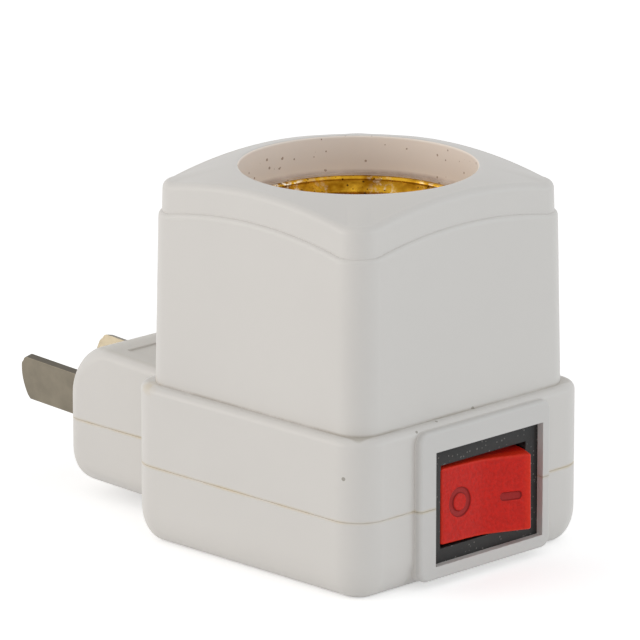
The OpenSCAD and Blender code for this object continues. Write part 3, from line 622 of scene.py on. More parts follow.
def mouth_cutter():
    """The well, the seat of the shell's bead and the round mouth with its softened rim."""
    seat_z, seat_r = BEAD_Z - BEAD_R - BEAD_SEAT, BEAD_MID_R + BEAD_R + BEAD_FIT
    well = [(0, WELL_FLOOR_Z), (WELL_R, WELL_FLOOR_Z), (WELL_R, seat_z), (seat_r, seat_z),
            (seat_r, COLLAR_LOW_Z), (MOUTH_R, COLLAR_LOW_Z)]
    flare = [(MOUTH_R + inset, RIM_Z - below) for inset, below in round_over(RIM_EDGE_R, RIM_EDGE_R, 5)]
    return revolve("mouth", well + flare + [(MOUTH_R + RIM_EDGE_R + 1, RIM_Z + 1), (0, RIM_Z + 1)])


def panel_cutter():
    """Shallow panel in the plug's top."""
    start = BACK_Y - CUT_OVER
    reach = (PANEL_Y - start) * math.hypot(1, PLUG_TOP_RISE)
    cutter = block("panel", (-PANEL_W / 2, 0, -PANEL_DEPTH), (PANEL_W / 2, reach, WALL))
    return moved(cutter, 0, start, plug_top(start), Matrix.Rotation(math.atan(PLUG_TOP_RISE), 4, "X"))


def finish_shell(shell):
    tidy_normals(shell, 0.002)
    shade(shell, 30)
    return weigh_normals(shell)


def upper_shell():
    shell = upper_base_form()
    combine(shell, [plug_form(1)], "UNION")
    combine(shell, [panel_cutter()], "DIFFERENCE")
    combine(shell, [tower_form(), bezel_form(1)], "UNION")
    cutters = [hollow(SEAM_Z - 1, LEDGE_Z - WALL), plug_hollow(SEAM_Z - 1, PLUG_TOP_Z - WALL), mouth_cutter()]
    combine(shell, cutters + switch_cutters() + pin_cutters(), "DIFFERENCE")
    shell.name = "upper_shell_moulding"
    return finish_shell(shell)


def screw_post(x, y):
    post = revolve("post", [(0, POST_LOW_Z), (POST_R, POST_LOW_Z), (POST_R, SEAM_Z), (0, SEAM_Z)], 40)
    return moved(post, x, y, 0)


def counterbore(x, y):
    """Hole for a screw's head, with a softened edge at the underside."""
    low = plug_bottom(y) if y > BACK_Y else 0
    edge = [(HOLE_R + inset, low + rise) for inset, rise in round_out(HOLE_EDGE_R, HOLE_EDGE_R, 3)]
    profile = [(0, -1), (edge[0][0], -1)] + edge + [(HOLE_R, low + HOLE_DEPTH), (0, low + HOLE_DEPTH)]
    return moved(revolve("counterbore", profile, 48), x, y, 0)


def lower_shell():
    shell = lower_base_form()
    combine(shell, [plug_form(-1), bezel_form(-1)], "UNION")
    cutters = [hollow(WALL, SEAM_Z + 1), plug_hollow(plug_bottom(PLUG_Y) + WALL, SEAM_Z + 1)]
    combine(shell, cutters + switch_cutters() + pin_cutters(), "DIFFERENCE")
    combine(shell, [screw_post(x, y) for x, y in SCREW_PLACES], "UNION")
    combine(shell, [counterbore(x, y) for x, y in SCREW_PLACES], "DIFFERENCE")
    shell.name = "lower_shell_moulding"
    return finish_shell(shell)


# Screw shell

def sheet_r(angle, z, low, high):
    """Inner radius of the rolled sheet: a round thread that fades out at both ends."""
    share = fade((z - low) / THREAD_FADE) * fade((high - z) / THREAD_FADE)
    wave = math.cos(2 * math.pi * z / THREAD_PITCH - angle)
    return NECK_R + share * (NECK_IN + THREAD_DEPTH / 2 * wave)


def screw_shell():
    """Threaded sheet with a beaded rim and an inturned foot, swept once round the axis."""
    steps, rows = 160, 96
    low, high = WELL_FLOOR_Z + SHELL_T, BEAD_Z - 3 * BEAD_R
    heights = [low + (high - low) * i / rows for i in range(rows + 1)]
    bead = [(BEAD_MID_R + BEAD_R * math.cos(b), BEAD_Z + BEAD_R * math.sin(b))
            for b in (math.radians(200 - 20 * i) for i in range(16))]
    foot_z = WELL_FLOOR_Z + SHELL_SEAT
    foot = [(NECK_R + SHELL_T, WELL_FLOOR_Z + SHELL_FOOT_R), (NECK_R + SHELL_T - SHELL_FOOT_R, foot_z),
            (FLANGE_HOLE_R, foot_z), (FLANGE_HOLE_R, low), (NECK_R - SHELL_FOOT_IN, low)]
    verts = []
    for k in range(steps):
        a = 2 * math.pi * k / steps
        inner = [(sheet_r(a, z, low, high), z) for z in heights]
        outer = [(r + SHELL_T, z) for r, z in reversed(inner)]
        verts += [(r * math.cos(a), r * math.sin(a), z) for r, z in inner[1:] + bead + outer + foot]
    n = len(verts) // steps
    faces = []
    for k in range(steps):
        a, b = k * n, ((k + 1) % steps) * n
        faces += [(a + i, a + (i + 1) % n, b + (i + 1) % n, b + i) for i in range(n)]
    return make_object("screw_shell_sheet", verts, faces, 50)


# Rocker

def face_depth(x):
    """How far the dished face stands out from the pivot's plane."""
    return ROCKER_FACE + math.tan(math.radians(ROCKER_SLOPE)) * (math.hypot(x, ROCKER_DISH) - ROCKER_DISH)


def groove(distance, half):
    """Depth share of a groove, 1 in its middle and 0 outside, from the distance to its centre line."""
    return 1 - fade((abs(distance) - half + MARK_SOFT) / (2 * MARK_SOFT))


def mark_depth(x, z):
    ring = groove(math.hypot(x - RING_X, z - RING_Z) - RING_R + RING_STROKE / 2, RING_STROKE / 2)
    dx = max(abs(x - BAR_X) - BAR_LEN / 2 + BAR_W / 2, 0)
    bar = groove(math.hypot(dx, z - BAR_Z), BAR_W / 2)
    return MARK_DEPTH * max(ring, bar)


def rim_highlight_share(x, z):
    """How much painted highlight a point of the face takes near the rim, most of all on the raised end."""
    raised = 1 - (ROCKER_HALF_X - x) / RAISED_END_HIGHLIGHT
    ends = 1 - (ROCKER_HALF_X - abs(x)) / EDGE_HIGHLIGHT
    sides = 1 - (ROCKER_HALF_Z - abs(z)) / EDGE_HIGHLIGHT
    return fade(max(raised, ends, sides))


def grid_place(share, half):
    """Place of a grid line between -half and half, closer to its neighbours toward both ends."""
    return half * (GRID_PULL * math.sin(share * math.pi / 2) + (1 - GRID_PULL) * share)


def face_point(u, v):
    """Point of the face for a grid place from -1 to 1, and the depth of the marks there."""
    x, z = grid_place(u, ROCKER_HALF_X), grid_place(v, ROCKER_HALF_Z)
    qx = max(0, abs(x) - (ROCKER_HALF_X - ROCKER_END_R)) / ROCKER_END_R
    qz = max(0, abs(z) - (ROCKER_HALF_Z - ROCKER_SIDE_R)) / ROCKER_SIDE_R
    q = math.hypot(qx, qz)
    if q > 1:
        x = math.copysign(ROCKER_HALF_X - ROCKER_END_R + qx / q * ROCKER_END_R, x) if qx else x
        z = math.copysign(ROCKER_HALF_Z - ROCKER_SIDE_R + qz / q * ROCKER_SIDE_R, z) if qz else z
    r = ROCKER_SIDE_R + (ROCKER_END_R - ROCKER_SIDE_R) * (qx / (qx + qz) if q else 0)
    drop = r * (1 - math.sqrt(1 - min(q, 1) ** 2))
    marked = mark_depth(x, z)
    return (x, drop + marked - face_depth(x) - ROCKER_LEAN * (ROCKER_HALF_Z - z), z), marked


def skirt_point(point, share):
    """Point of the skirt behind a point of the face's edge; its ends follow the pivot's arc."""
    x, y, z = point
    depth = y + (SKIRT_BACK - y) * share
    grow = 0
    if abs(x) > 0.5 * ROCKER_HALF_X:
        reach, start = [math.sqrt(ROCKER_R ** 2 - d * d) for d in (depth, y)]
        grow = (reach - start) * (abs(x) / ROCKER_HALF_X) ** 6
    return x + math.copysign(grow, x), depth, z + SKIRT_LIFT * share


def rocker_button():
    """Dished button: a fine grid for the face, then a skirt, with its marks and its painted rim highlight as
    attributes.
    """
    verts, marks, rim_highlights = [], [], []
    for i in range(FACE_NX + 1):
        for j in range(FACE_NZ + 1):
            point, marked = face_point(2 * i / FACE_NX - 1, 2 * j / FACE_NZ - 1)
            verts.append(point)
            marks.append(marked / MARK_DEPTH)
            rim_highlights.append(rim_highlight_share(point[0], point[2]))
    row = FACE_NZ + 1
    faces = [(i * row + j, (i + 1) * row + j, (i + 1) * row + j + 1, i * row + j + 1)
             for i in range(FACE_NX) for j in range(FACE_NZ)]
    border = [(i, 0) for i in range(FACE_NX)] + [(FACE_NX, j) for j in range(FACE_NZ)]
    border += [(i, FACE_NZ) for i in range(FACE_NX, 0, -1)] + [(0, j) for j in range(FACE_NZ, 0, -1)]
    border = [i * row + j for i, j in border]
    ring = border
    for k in range(1, SKIRT_STEPS + 1):
        behind = [len(verts) + i for i in range(len(border))]
        verts += [skirt_point(verts[i], k / SKIRT_STEPS) for i in border]
        marks += [0.0] * len(border)
        # The first skirt rows take the painted rim highlight too
        rim_highlights += [1.0 if k < 3 else 0.0] * len(border)
        faces += [(ring[i - 1], behind[i - 1], behind[i], ring[i]) for i in range(len(border))]
        ring = behind
    obj = make_object("rocker_button", verts, faces + [tuple(ring)], 60)
    for name, values in (("mark", marks), ("rim", rim_highlights)):
        obj.data.attributes.new(name, "FLOAT", "POINT").data.foreach_set("value", values)
    return obj


def rocker():
    """The button with its hub, bored for the plunger and its spring."""
    obj = rocker_button()
    back = Matrix.Rotation(math.radians(-90), 4, "X")
    hub = revolve("hub", [(0, 0), (HUB_R, 0), (HUB_R, HUB_LEN - HUB_EDGE), (HUB_R - HUB_EDGE, HUB_LEN),
                          (0, HUB_LEN)], 32)
    combine(obj, [moved(hub, 0, 0, 0, back)], "UNION")
    past = HUB_LEN + CUT_OVER
    bore = revolve("bore", [(0, BORE_END), (BORE_R, BORE_END), (BORE_R, past), (0, past)], 32)
    combine(obj, [moved(bore, 0, 0, 0, back)], "DIFFERENCE")
    turn = Matrix.Rotation(math.radians(-ROCKER_TILT), 4, "Z")
    turn @= Matrix.Rotation(math.radians(ROCKER_SKEW), 4, "Y")
    moved(obj, SWITCH_X, PIVOT_Y, SWITCH_Z - ROCKER_LOW, turn)
    tidy_normals(obj)
    shade(obj, 50)
    return obj


def switch_body():
    """The switch's case, with room in its flange for the rocker's corners."""
    body = from_node("switch_body", 0.12)
    low, high = WINDOW_Z
    cutter = block("window", (SWITCH_X - WINDOW_W / 2, FLANGE_FRONT_Y - 1, low),
                   (SWITCH_X + WINDOW_W / 2, FLANGE_BACK_Y, high))
    combine(body, [cutter], "DIFFERENCE")
    shade(body, 35)
    return body


# Pins

def pin_outline(steps=24):
    """Blade from the plug's end to its rounded tip, as (along, across)."""
    half = PIN_W / 2
    edge = PIN_OUT - (PIN_TIP_R - math.sqrt(PIN_TIP_R ** 2 - half * half))
    low, high = -half + PIN_LOW_R, half - PIN_TOP_R
    tip = [(PIN_OUT - PIN_TIP_R + math.sqrt(PIN_TIP_R ** 2 - v * v), v)
           for v in (low + (high - low) * i / steps for i in range(steps + 1))]
    foot = arc(edge - PIN_LOW_R, low, PIN_LOW_R, 270, 340, 6)
    corner = arc(edge - PIN_TOP_R, high, PIN_TOP_R, 20, 90, 12)
    return [(-END_WALL, -half)] + foot + tip[1:-1] + corner + [(-END_WALL, half)]


def plate(name, outline, half_t):
    n = len(outline)
    verts = [(x, y, z) for x in (-half_t, half_t) for y, z in outline]
    faces = [tuple(range(n)), tuple(range(2 * n - 1, n - 1, -1))]
    faces += [(i, (i + 1) % n, n + (i + 1) % n, n + i) for i in range(n)]
    return make_object(name, verts, faces)


def pin(side):
    """Flat pin: blade outside, wider stop and a tail with a wire hole inside."""
    half_t = PIN_T / 2
    obj = plate("pin_blade", pin_outline(), half_t)
    stop_y = -END_WALL - STOP_GAP
    stop = block("stop", (-half_t, stop_y - STOP_LEN, -STOP_W / 2), (half_t, stop_y, STOP_W / 2))
    tail = block("tail", (-half_t, -PIN_ROOT, -TAIL_W / 2), (half_t, TAIL_OVERLAP - END_WALL, TAIL_W / 2))
    combine(obj, [stop, tail], "UNION")
    hole = revolve("hole", [(0, -PIN_T), (WIRE_HOLE_R, -PIN_T), (WIRE_HOLE_R, PIN_T), (0, PIN_T)], 24)
    moved(hole, 0, WIRE_HOLE_IN - PIN_ROOT, 0, Matrix.Rotation(math.radians(90), 4, "Y"))
    combine(obj, [hole], "DIFFERENCE")
    soften(obj, PIN_EDGE_R, 4, 40)
    place_pin(obj, side)
    shade(obj, 50)
    return obj


# Cover screws

def screw_set_tree():
    """Geometry tree that sets a screw at each point of a mesh and makes the result real."""
    tree = bpy.data.node_groups.new("cover_screw_set", "GeometryNodeTree")
    for name, kind in (("Places", "Geometry"), ("Screw", "Object"), ("Size", "Float"), ("Material", "Material")):
        tree.interface.new_socket(name, in_out="INPUT", socket_type="NodeSocket" + kind)
    tree.interface.new_socket("Screws", in_out="OUTPUT", socket_type="NodeSocketGeometry")
    start, source, spread, real, paint, end = [tree.nodes.new(kind) for kind in (
        "NodeGroupInput", "GeometryNodeObjectInfo", "GeometryNodeInstanceOnPoints",
        "GeometryNodeRealizeInstances", "GeometryNodeSetMaterial", "NodeGroupOutput")]
    for a, out, b, into in ((start, "Places", spread, "Points"), (start, "Screw", source, "Object"),
                            (start, "Size", spread, "Scale"), (source, "Geometry", spread, "Instance"),
                            (spread, "Instances", real, "Geometry"), (real, "Geometry", paint, "Geometry"),
                            (start, "Material", paint, "Material"), (paint, "Geometry", end, "Screws")):
        tree.links.new(a.outputs[out], b.inputs[into])
    return tree


def one_screw():
    """The first cover screw by itself, with its axis on the origin."""
    obj = from_node("cover_screws", 0.08)
    x, y = SCREW_PLACES[0]
    with mesh_edit(obj) as bm:
        others = [v for v in bm.verts if math.hypot(v.co.x / MM - x, v.co.y / MM - y) > 2 * HOLE_R]
        bmesh.ops.delete(bm, geom=others, context="VERTS")
    return moved(obj, -x, -y, 0)


def cover_screws(material):
    """The screws under the lower shell, one at each place, as one plain mesh."""
    screw = one_screw()
    places = bpy.data.meshes.new("screw_places")
    places.from_pydata([(x * MM, y * MM, 0) for x, y in SCREW_PLACES], [], [])
    row = link(bpy.data.objects.new("screw_row", places))
    modifier = row.modifiers.new("screws", "NODES")
    modifier.node_group = screw_set_tree()
    sockets = {item.name: item.identifier for item in modifier.node_group.interface.items_tree}
    for name, value in (("Screw", screw), ("Size", 1.0), ("Material", material)):
        modifier[sockets[name]] = value
    graph = bpy.context.evaluated_depsgraph_get()
    mesh = bpy.data.meshes.new_from_object(row.evaluated_get(graph))
    row.modifiers.remove(modifier)
    bpy.data.objects.remove(row)
    bpy.data.objects.remove(screw)
    return link(bpy.data.objects.new("cover_screws_finished", mesh))


# Helpers for shaders

def add(tree, kind, links=None, **settings):
    """New node: settings are its properties, links its inputs, as values or other nodes' outputs."""
    node = tree.nodes.new(kind)
    for key, value in settings.items():
        setattr(node, key, value)
    for key, value in (links or {}).items():
        if isinstance(value, bpy.types.NodeSocket):
            tree.links.new(value, node.inputs[key])
        else:
            node.inputs[key].default_value = value
    return node


def calc(tree, operation, *values):
    """Result of one sum, such as MULTIPLY."""
    return add(tree, "ShaderNodeMath", dict(enumerate(values)), operation=operation).outputs[0]


def remap(tree, value, start, end, low=0.0, high=1.0):
    """Value from low to high as the given one goes from start to end."""
    return add(tree, "ShaderNodeMapRange", {"Value": value, "From Min": start, "From Max": end,
                                            "To Min": low, "To Max": high}).outputs[0]


def noise(tree, vector, scale, detail, **more):
    return add(tree, "ShaderNodeTexNoise", {"Vector": vector, "Scale": scale, "Detail": detail, **more}).outputs[0]


def split(tree, vector):
    """The X, Y and Z of a vector."""
    return add(tree, "ShaderNodeSeparateXYZ", {"Vector": vector}).outputs


def mix_colour(tree, factor, a, b, mode="MIX"):
    a, b = [c if isinstance(c, bpy.types.NodeSocket) else (*c, 1) for c in (a, b)]
    return add(tree, "ShaderNodeMix", {0: factor, 6: a, 7: b}, data_type="RGBA", blend_type=mode).outputs[2]


def tint(tree, colour, by):
    return mix_colour(tree, 1.0, colour, by, "MULTIPLY")


def away_from(tree, coords, place):
    """Distance of each point from a place in millimetres."""
    return add(tree, "ShaderNodeVectorMath", {0: coords, 1: [c * MM for c in place]},
               operation="DISTANCE").outputs["Value"]


def surface_normal(tree):
    return split(tree, tree.nodes.new("ShaderNodeTexCoord").outputs["Normal"])


# Shader effects that several materials share

def group_tree(name, outputs, **inputs):
    """Node group with a Vector input, number inputs and their usual values, and number outputs."""
    tree = bpy.data.node_groups.new(name, "ShaderNodeTree")
    tree.interface.new_socket("Vector", in_out="INPUT", socket_type="NodeSocketVector")
    for label, value in inputs.items():
        socket = tree.interface.new_socket(label.replace("_", " "), in_out="INPUT", socket_type="NodeSocketFloat")
        socket.default_value = value
    for label in outputs:
        tree.interface.new_socket(label, in_out="OUTPUT", socket_type="NodeSocketFloat")
    return tree, tree.nodes.new("NodeGroupInput").outputs, tree.nodes.new("NodeGroupOutput").inputs


def specks_group():
    """Scattered small specks: a mask from cells whose random value is below the share."""
    tree, given, result = group_tree("specks", ["Mask"], Scale=300.0, Share=0.05, Size=0.2)
    cells = add(tree, "ShaderNodeTexVoronoi", {"Vector": given["Vector"], "Scale": given["Scale"]}).outputs
    random = add(tree, "ShaderNodeSeparateColor", {"Color": cells["Color"]}).outputs
    chosen = calc(tree, "LESS_THAN", random["Red"], given["Share"])
    near = calc(tree, "LESS_THAN", cells["Distance"], calc(tree, "MULTIPLY", given["Size"], random["Green"]))
    tree.links.new(calc(tree, "MULTIPLY", chosen, near), result["Mask"])
    return tree


def band_group():
    """Soft band round a height: 1 at Level, 0 past Width, broken up by noise."""
    tree, given, result = group_tree("band", ["Mask"], Level=0.01, Width=0.0004, Breakup=0.5, Noise_Scale=150.0)
    off = calc(tree, "ABSOLUTE", calc(tree, "SUBTRACT", split(tree, given["Vector"])["Z"], given["Level"]))
    fall = calc(tree, "SUBTRACT", 1.0, calc(tree, "DIVIDE", off, given["Width"]))
    fall.node.use_clamp = True
    patch = remap(tree, noise(tree, given["Vector"], given["Noise Scale"], 4.0), 0.35, 0.65)
    kept = calc(tree, "SUBTRACT", 1.0, calc(tree, "MULTIPLY", patch, given["Breakup"]))
    tree.links.new(calc(tree, "MULTIPLY", fall, kept), result["Mask"])
    return tree


def grain_group():
    """Fine moulded grain: a height and a slow tone variation."""
    tree, given, result = group_tree("grain", ["Height", "Tone"], Fine_Scale=2500.0, Slow_Scale=60.0)
    fine = noise(tree, given["Vector"], given["Fine Scale"], 3.0, Roughness=0.6)
    slow = noise(tree, given["Vector"], given["Slow Scale"], 3.0, Roughness=0.55)
    tree.links.new(fine, result["Height"])
    tree.links.new(slow, result["Tone"])
    return tree


SPECKS = specks_group()
BAND = band_group()
GRAIN = grain_group()


def specks(tree, coords, scale, share, size):
    return add(tree, "ShaderNodeGroup", {"Vector": coords, "Scale": scale, "Share": share, "Size": size},
               node_tree=SPECKS).outputs["Mask"]


def band(tree, coords, level, width, breakup, noise_scale):
    """Mask of a band round a height, with its level and width in millimetres."""
    return add(tree, "ShaderNodeGroup", {"Vector": coords, "Level": level * MM, "Width": width * MM,
                                         "Breakup": breakup, "Noise Scale": noise_scale},
               node_tree=BAND).outputs["Mask"]


def grain(tree, coords, fine_scale, slow_scale):
    return add(tree, "ShaderNodeGroup", {"Vector": coords, "Fine Scale": fine_scale, "Slow Scale": slow_scale},
               node_tree=GRAIN).outputs


# Materials

def new_material(name, roughness, metallic=0.0, **sockets):
    material = bpy.data.materials.new(name)
    material.use_nodes = True
    tree = material.node_tree
    shader = tree.nodes["Principled BSDF"]
    shader.inputs["Roughness"].default_value = roughness
    shader.inputs["Metallic"].default_value = metallic
    for key, value in sockets.items():
        shader.inputs[key.replace("_", " ")].default_value = value
    coords = tree.nodes.new("ShaderNodeTexCoord").outputs["Object"]
    return material, tree, shader, coords


def finish_material(tree, shader, colour, height, strength, distance=0.1, roughness=None):
    """Joins the colour, the bump and, where it varies, the roughness to the material's shader."""
    tree.links.new(colour, shader.inputs["Base Color"])
    bump = add(tree, "ShaderNodeBump", {"Height": height, "Strength": strength, "Distance": distance * MM})
    tree.links.new(bump.outputs[0], shader.inputs["Normal"])
    if roughness:
        tree.links.new(roughness, shader.inputs["Roughness"])


def inside_collar(tree, coords):
    """1 on the collar's inner wall and in the well, 0 outside."""
    flat = add(tree, "ShaderNodeVectorMath", {0: coords, 1: (1, 1, 0)}, operation="MULTIPLY")
    radius = add(tree, "ShaderNodeVectorMath", {0: flat.outputs[0]}, operation="LENGTH")
    return calc(tree, "LESS_THAN", radius.outputs["Value"], (MOUTH_R + 0.12) * MM)


def seam_dirt_and_crease_shade(tree, coords, place, colour):
    """Dirt in the seam, and painted shade in the corner between the ledge and the tower's foot."""
    colour = mix_colour(tree, band(tree, coords, SEAM_Z, 0.34, 0.75, 160.0), colour, SEAM_DIRT)
    # Painted shade along the crease between the ledge and the tower's foot
    crease = band(tree, coords, LEDGE_Z, 0.35, 0.8, 120.0)
    x_size, y_size = [calc(tree, "ABSOLUTE", place[axis]) for axis in "XY"]
    reach = calc(tree, "MAXIMUM", x_size, y_size)
    foot = remap(tree, reach, (TOWER_FOOT_W / 2 + 0.05) * MM, (TOWER_FOOT_W / 2 + 0.35) * MM, 1.0, 0.0)
    crease_shade = calc(tree, "MULTIPLY", calc(tree, "MULTIPLY", crease, foot), 0.6)
    return mix_colour(tree, crease_shade, colour, CREASE_SHADE)


def collar_dust_and_shade(tree, coords, inside, colour):
    """Dust on the collar's inner wall, with dirt and painted shade on the ledge above the shell's bead."""
    dust = specks(tree, coords, 2200.0, 0.09, 0.5)
    # Ledge above the bead: dirt and painted shade
    ledge = band(tree, coords, COLLAR_LOW_Z, 0.5, 0.5, 300.0)
    dust_and_shade = calc(tree, "MULTIPLY", calc(tree, "MAXIMUM", dust, ledge), inside)
    return mix_colour(tree, calc(tree, "MULTIPLY", dust_and_shade, 0.7), colour, COLLAR_DUST_AND_SHADE)


def spotted(tree, coords, colour):
    """Dark spots where the photograph shows them."""
    spots = 0.0
    for place, size in SPOTS:
        spot = calc(tree, "LESS_THAN", away_from(tree, coords, place), size * MM)
        spots = calc(tree, "MAXIMUM", spots, spot)
    return mix_colour(tree, calc(tree, "MULTIPLY", spots, 0.6), colour, SPECK_GREY)


def stained(tree, coords, colour):
    """Yellow stain on the ledge where the photograph shows it."""
    near = remap(tree, away_from(tree, coords, STAIN_PLACE), 0.3 * MM, STAIN_R * MM, 0.6, 0.0)
    blotch = remap(tree, noise(tree, coords, 700.0, 3.0), 0.4, 0.6)
    return mix_colour(tree, calc(tree, "MULTIPLY", near, blotch), colour, SEAM_DIRT)


def toned_places(tree, place, colour):
    """The frame is a little greyer, and the plug's flat top is darkened with painted shade."""
    front = calc(tree, "LESS_THAN", place["Y"], (FRONT_Y - 0.25) * MM)
    colour = mix_colour(tree, front, colour, tint(tree, colour, FRAME_TINT))
    # Painted shade on the up-facing top of the plug
    flat_top = remap(tree, surface_normal(tree)["Z"], 0.8, 0.97)
    behind = calc(tree, "GREATER_THAN", place["Y"], (BACK_Y + 0.2) * MM)
    shaded_top = calc(tree, "MULTIPLY", flat_top, behind)
    return mix_colour(tree, shaded_top, colour, tint(tree, colour, PLUG_TOP_SHADE))


def housing_material():
    """Off-white moulding with a cream tint of painted warm reflected light on the collar's inner wall, the dirt
    and spots of use, and painted shade in the crease at the tower's foot, on the ledge above the shell's bead and
    on the plug's flat top.
    """
    material, tree, shader, coords = new_material("off_white_moulding", 0.42, Specular_IOR_Level=0.45)
    surface = grain(tree, coords, 1800.0, 45.0)
    place = split(tree, coords)
    inside = inside_collar(tree, coords)
    colour = tint(tree, OFF_WHITE, remap(tree, surface["Tone"], 0.3, 0.7, 0.97, 1.0))
    # Cream tint on the collar's inner wall: painted warm reflected light
    colour = mix_colour(tree, inside, colour, COLLAR_WARM_LIGHT)
    colour = seam_dirt_and_crease_shade(tree, coords, place, colour)
    faint = calc(tree, "MULTIPLY", specks(tree, coords, 260.0, 0.012, 0.16), 0.55)
    colour = mix_colour(tree, faint, colour, SPECK_GREY)
    colour = collar_dust_and_shade(tree, coords, inside, colour)
    colour = spotted(tree, coords, colour)
    colour = stained(tree, coords, colour)
    colour = toned_places(tree, place, colour)
    rough = remap(tree, surface["Tone"], 0.3, 0.7, 0.36, 0.48)
    finish_material(tree, shader, colour, surface["Height"], 0.06, roughness=rough)
    return material


def metal_material(name, colour, dark, roughness, bump):
    """Sheet metal with soft tone marks and slight roughness changes."""
    material, tree, shader, coords = new_material(name, roughness, 1.0)
    surface = grain(tree, coords, 900.0, 140.0)
    base = mix_colour(tree, remap(tree, surface["Tone"], 0.35, 0.7), dark, colour)
    rough = remap(tree, surface["Height"], 0.3, 0.7, roughness * 0.85, roughness * 1.2)
    finish_material(tree, shader, base, surface["Height"], bump, roughness=rough)
    return material


def plastic_material(name, colour, speck, roughness=0.45, share=0.02, bump=0.1, fine=2600.0, gloss=0.5):
    """Moulded or drawn plastic with fine specks in another colour."""
    material, tree, shader, coords = new_material(name, roughness, Specular_IOR_Level=gloss)
    surface = grain(tree, coords, fine, 120.0)
    base = tint(tree, colour, remap(tree, surface["Tone"], 0.3, 0.7, 0.86, 1.0))
    base = mix_colour(tree, specks(tree, coords, 4500.0, share, 0.6), base, speck)
    finish_material(tree, shader, base, surface["Height"], bump)
    return material


def rocker_material():
    """Red moulding with a leather grain, duller in the cut marks with painted shade on their walls, and a painted
    highlight on its rim.
    """
    material, tree, shader, coords = new_material("red_moulding", 0.4, Specular_IOR_Level=0.22)
    surface = grain(tree, coords, 2000.0, 160.0)
    base = tint(tree, ROCKER_RED, remap(tree, surface["Height"], 0.35, 0.65, 0.86, 1.08))
    rim, mark = [add(tree, "ShaderNodeAttribute", attribute_name=name).outputs["Fac"] for name in ("rim", "mark")]
    # Painted highlight on the rocker's rim, from the rim attribute
    base = mix_colour(tree, calc(tree, "MULTIPLY", rim, 0.7), base, RIM_HIGHLIGHT_RED)
    # Painted shade on the walls of the cut marks
    base = mix_colour(tree, remap(tree, mark, 0.1, 0.5, 0.0, 0.8), base, MARK_WALL_SHADE)
    base = mix_colour(tree, remap(tree, mark, 0.6, 1.0), base, MARK_RED)
    finish_material(tree, shader, base, surface["Height"], 0.9, 0.12)
    return material


def pin_material(name, face, narrow_face_shade):
    """Stamped sheet: dull faces, painted shade on the narrow cut edges and a painted highlight along the line
    where the two meet.
    """
    material, tree, shader, coords = new_material(name, 0.42, 1.0)
    surface = grain(tree, coords, 900.0, 300.0)
    side = calc(tree, "ABSOLUTE", surface_normal(tree)["X"])
    # Painted highlight on the rounded edge between the broad and narrow faces
    base = mix_colour(tree, remap(tree, side, 0.9, 0.75), face, [min(1, 1.35 * c) for c in face])
    # Painted shade on the narrow faces
    base = mix_colour(tree, remap(tree, side, 0.6, 0.4), base, narrow_face_shade)
    base = tint(tree, base, remap(tree, surface["Tone"], 0.35, 0.65, 0.86, 1.06))
    finish_material(tree, shader, base, surface["Height"], 0.12)
    return material


def shell_brass_material():
    """Yellow-washed brass, tarnished in patches, with painted pale glints in spots."""
    material, tree, shader, coords = new_material("yellow_brass_sheet", 0.3, 1.0)
    patches = grain(tree, coords, 1500.0, 380.0)
    base = mix_colour(tree, remap(tree, patches["Tone"], 0.36, 0.6), TARNISH, SHELL_GOLD)
    # Pale spots of painted glints, where two noises meet
    where = remap(tree, noise(tree, coords, 120.0, 2.0), 0.5, 0.62)
    glints = calc(tree, "MULTIPLY", where, remap(tree, patches["Height"], 0.5, 0.62))
    base = mix_colour(tree, glints, base, GLINT_PALE)
    base = mix_colour(tree, specks(tree, coords, 3200.0, 0.12, 0.5), base, TARNISH_DARK)
    rough = remap(tree, patches["Tone"], 0.3, 0.7, 0.4, 0.22)
    finish_material(tree, shader, base, patches["Height"], 0.25, roughness=rough)
    return material


# Camera, light and floor

def place_camera():
    """Camera in the photographer's place, turned about its own axis by the small roll."""
    azimuth, elevation, roll = [math.radians(a) for a in (CAMERA_AZIMUTH, CAMERA_ELEVATION, CAMERA_ROLL)]
    back = Vector((math.sin(azimuth) * math.cos(elevation), -math.cos(azimuth) * math.cos(elevation),
                   math.sin(elevation)))
    right = Vector((math.cos(azimuth), math.sin(azimuth), 0))
    up = back.cross(right)
    turned_right = right * math.cos(roll) - up * math.sin(roll)
    turned_up = right * math.sin(roll) + up * math.cos(roll)
    data = bpy.data.cameras.new("camera")
    data.sensor_width = SENSOR_W
    data.lens = FOCAL_PX / IMAGE_PX * SENSOR_W
    data.shift_x = -(CENTRE_PX[0] - IMAGE_PX / 2) / IMAGE_PX
    data.shift_y = (CENTRE_PX[1] - IMAGE_PX / 2) / IMAGE_PX
    data.clip_start, data.clip_end = 0.05, 20
    camera = link(bpy.data.objects.new("camera", data))
    matrix = Matrix((turned_right, turned_up, back)).transposed().to_4x4()
    matrix.translation = Vector((0, 0, CAMERA_AIM_Z * MM)) + back * CAMERA_DISTANCE * MM
    camera.matrix_world = matrix
    bpy.context.scene.camera = camera


def place_lamp(name, place, power, colour):
    data = bpy.data.lights.new(name, "AREA")
    data.color = colour
    data.shape = "DISK"
    data.size = LAMP_SIZE
    data.energy = power
    lamp = link(bpy.data.objects.new(name, data))
    lamp.location = place
    lamp.rotation_euler = (Vector(LAMP_AIM) - Vector(place)).to_track_quat("-Z", "Y").to_euler()


def seen_by_eye(tree):
    """1 for rays from the camera, from gloss and through clear parts."""
    path = tree.nodes.new("ShaderNodeLightPath").outputs
    straight = calc(tree, "MAXIMUM", path["Is Camera Ray"], path["Is Glossy Ray"])
    return calc(tree, "MAXIMUM", straight, path["Is Transmission Ray"])


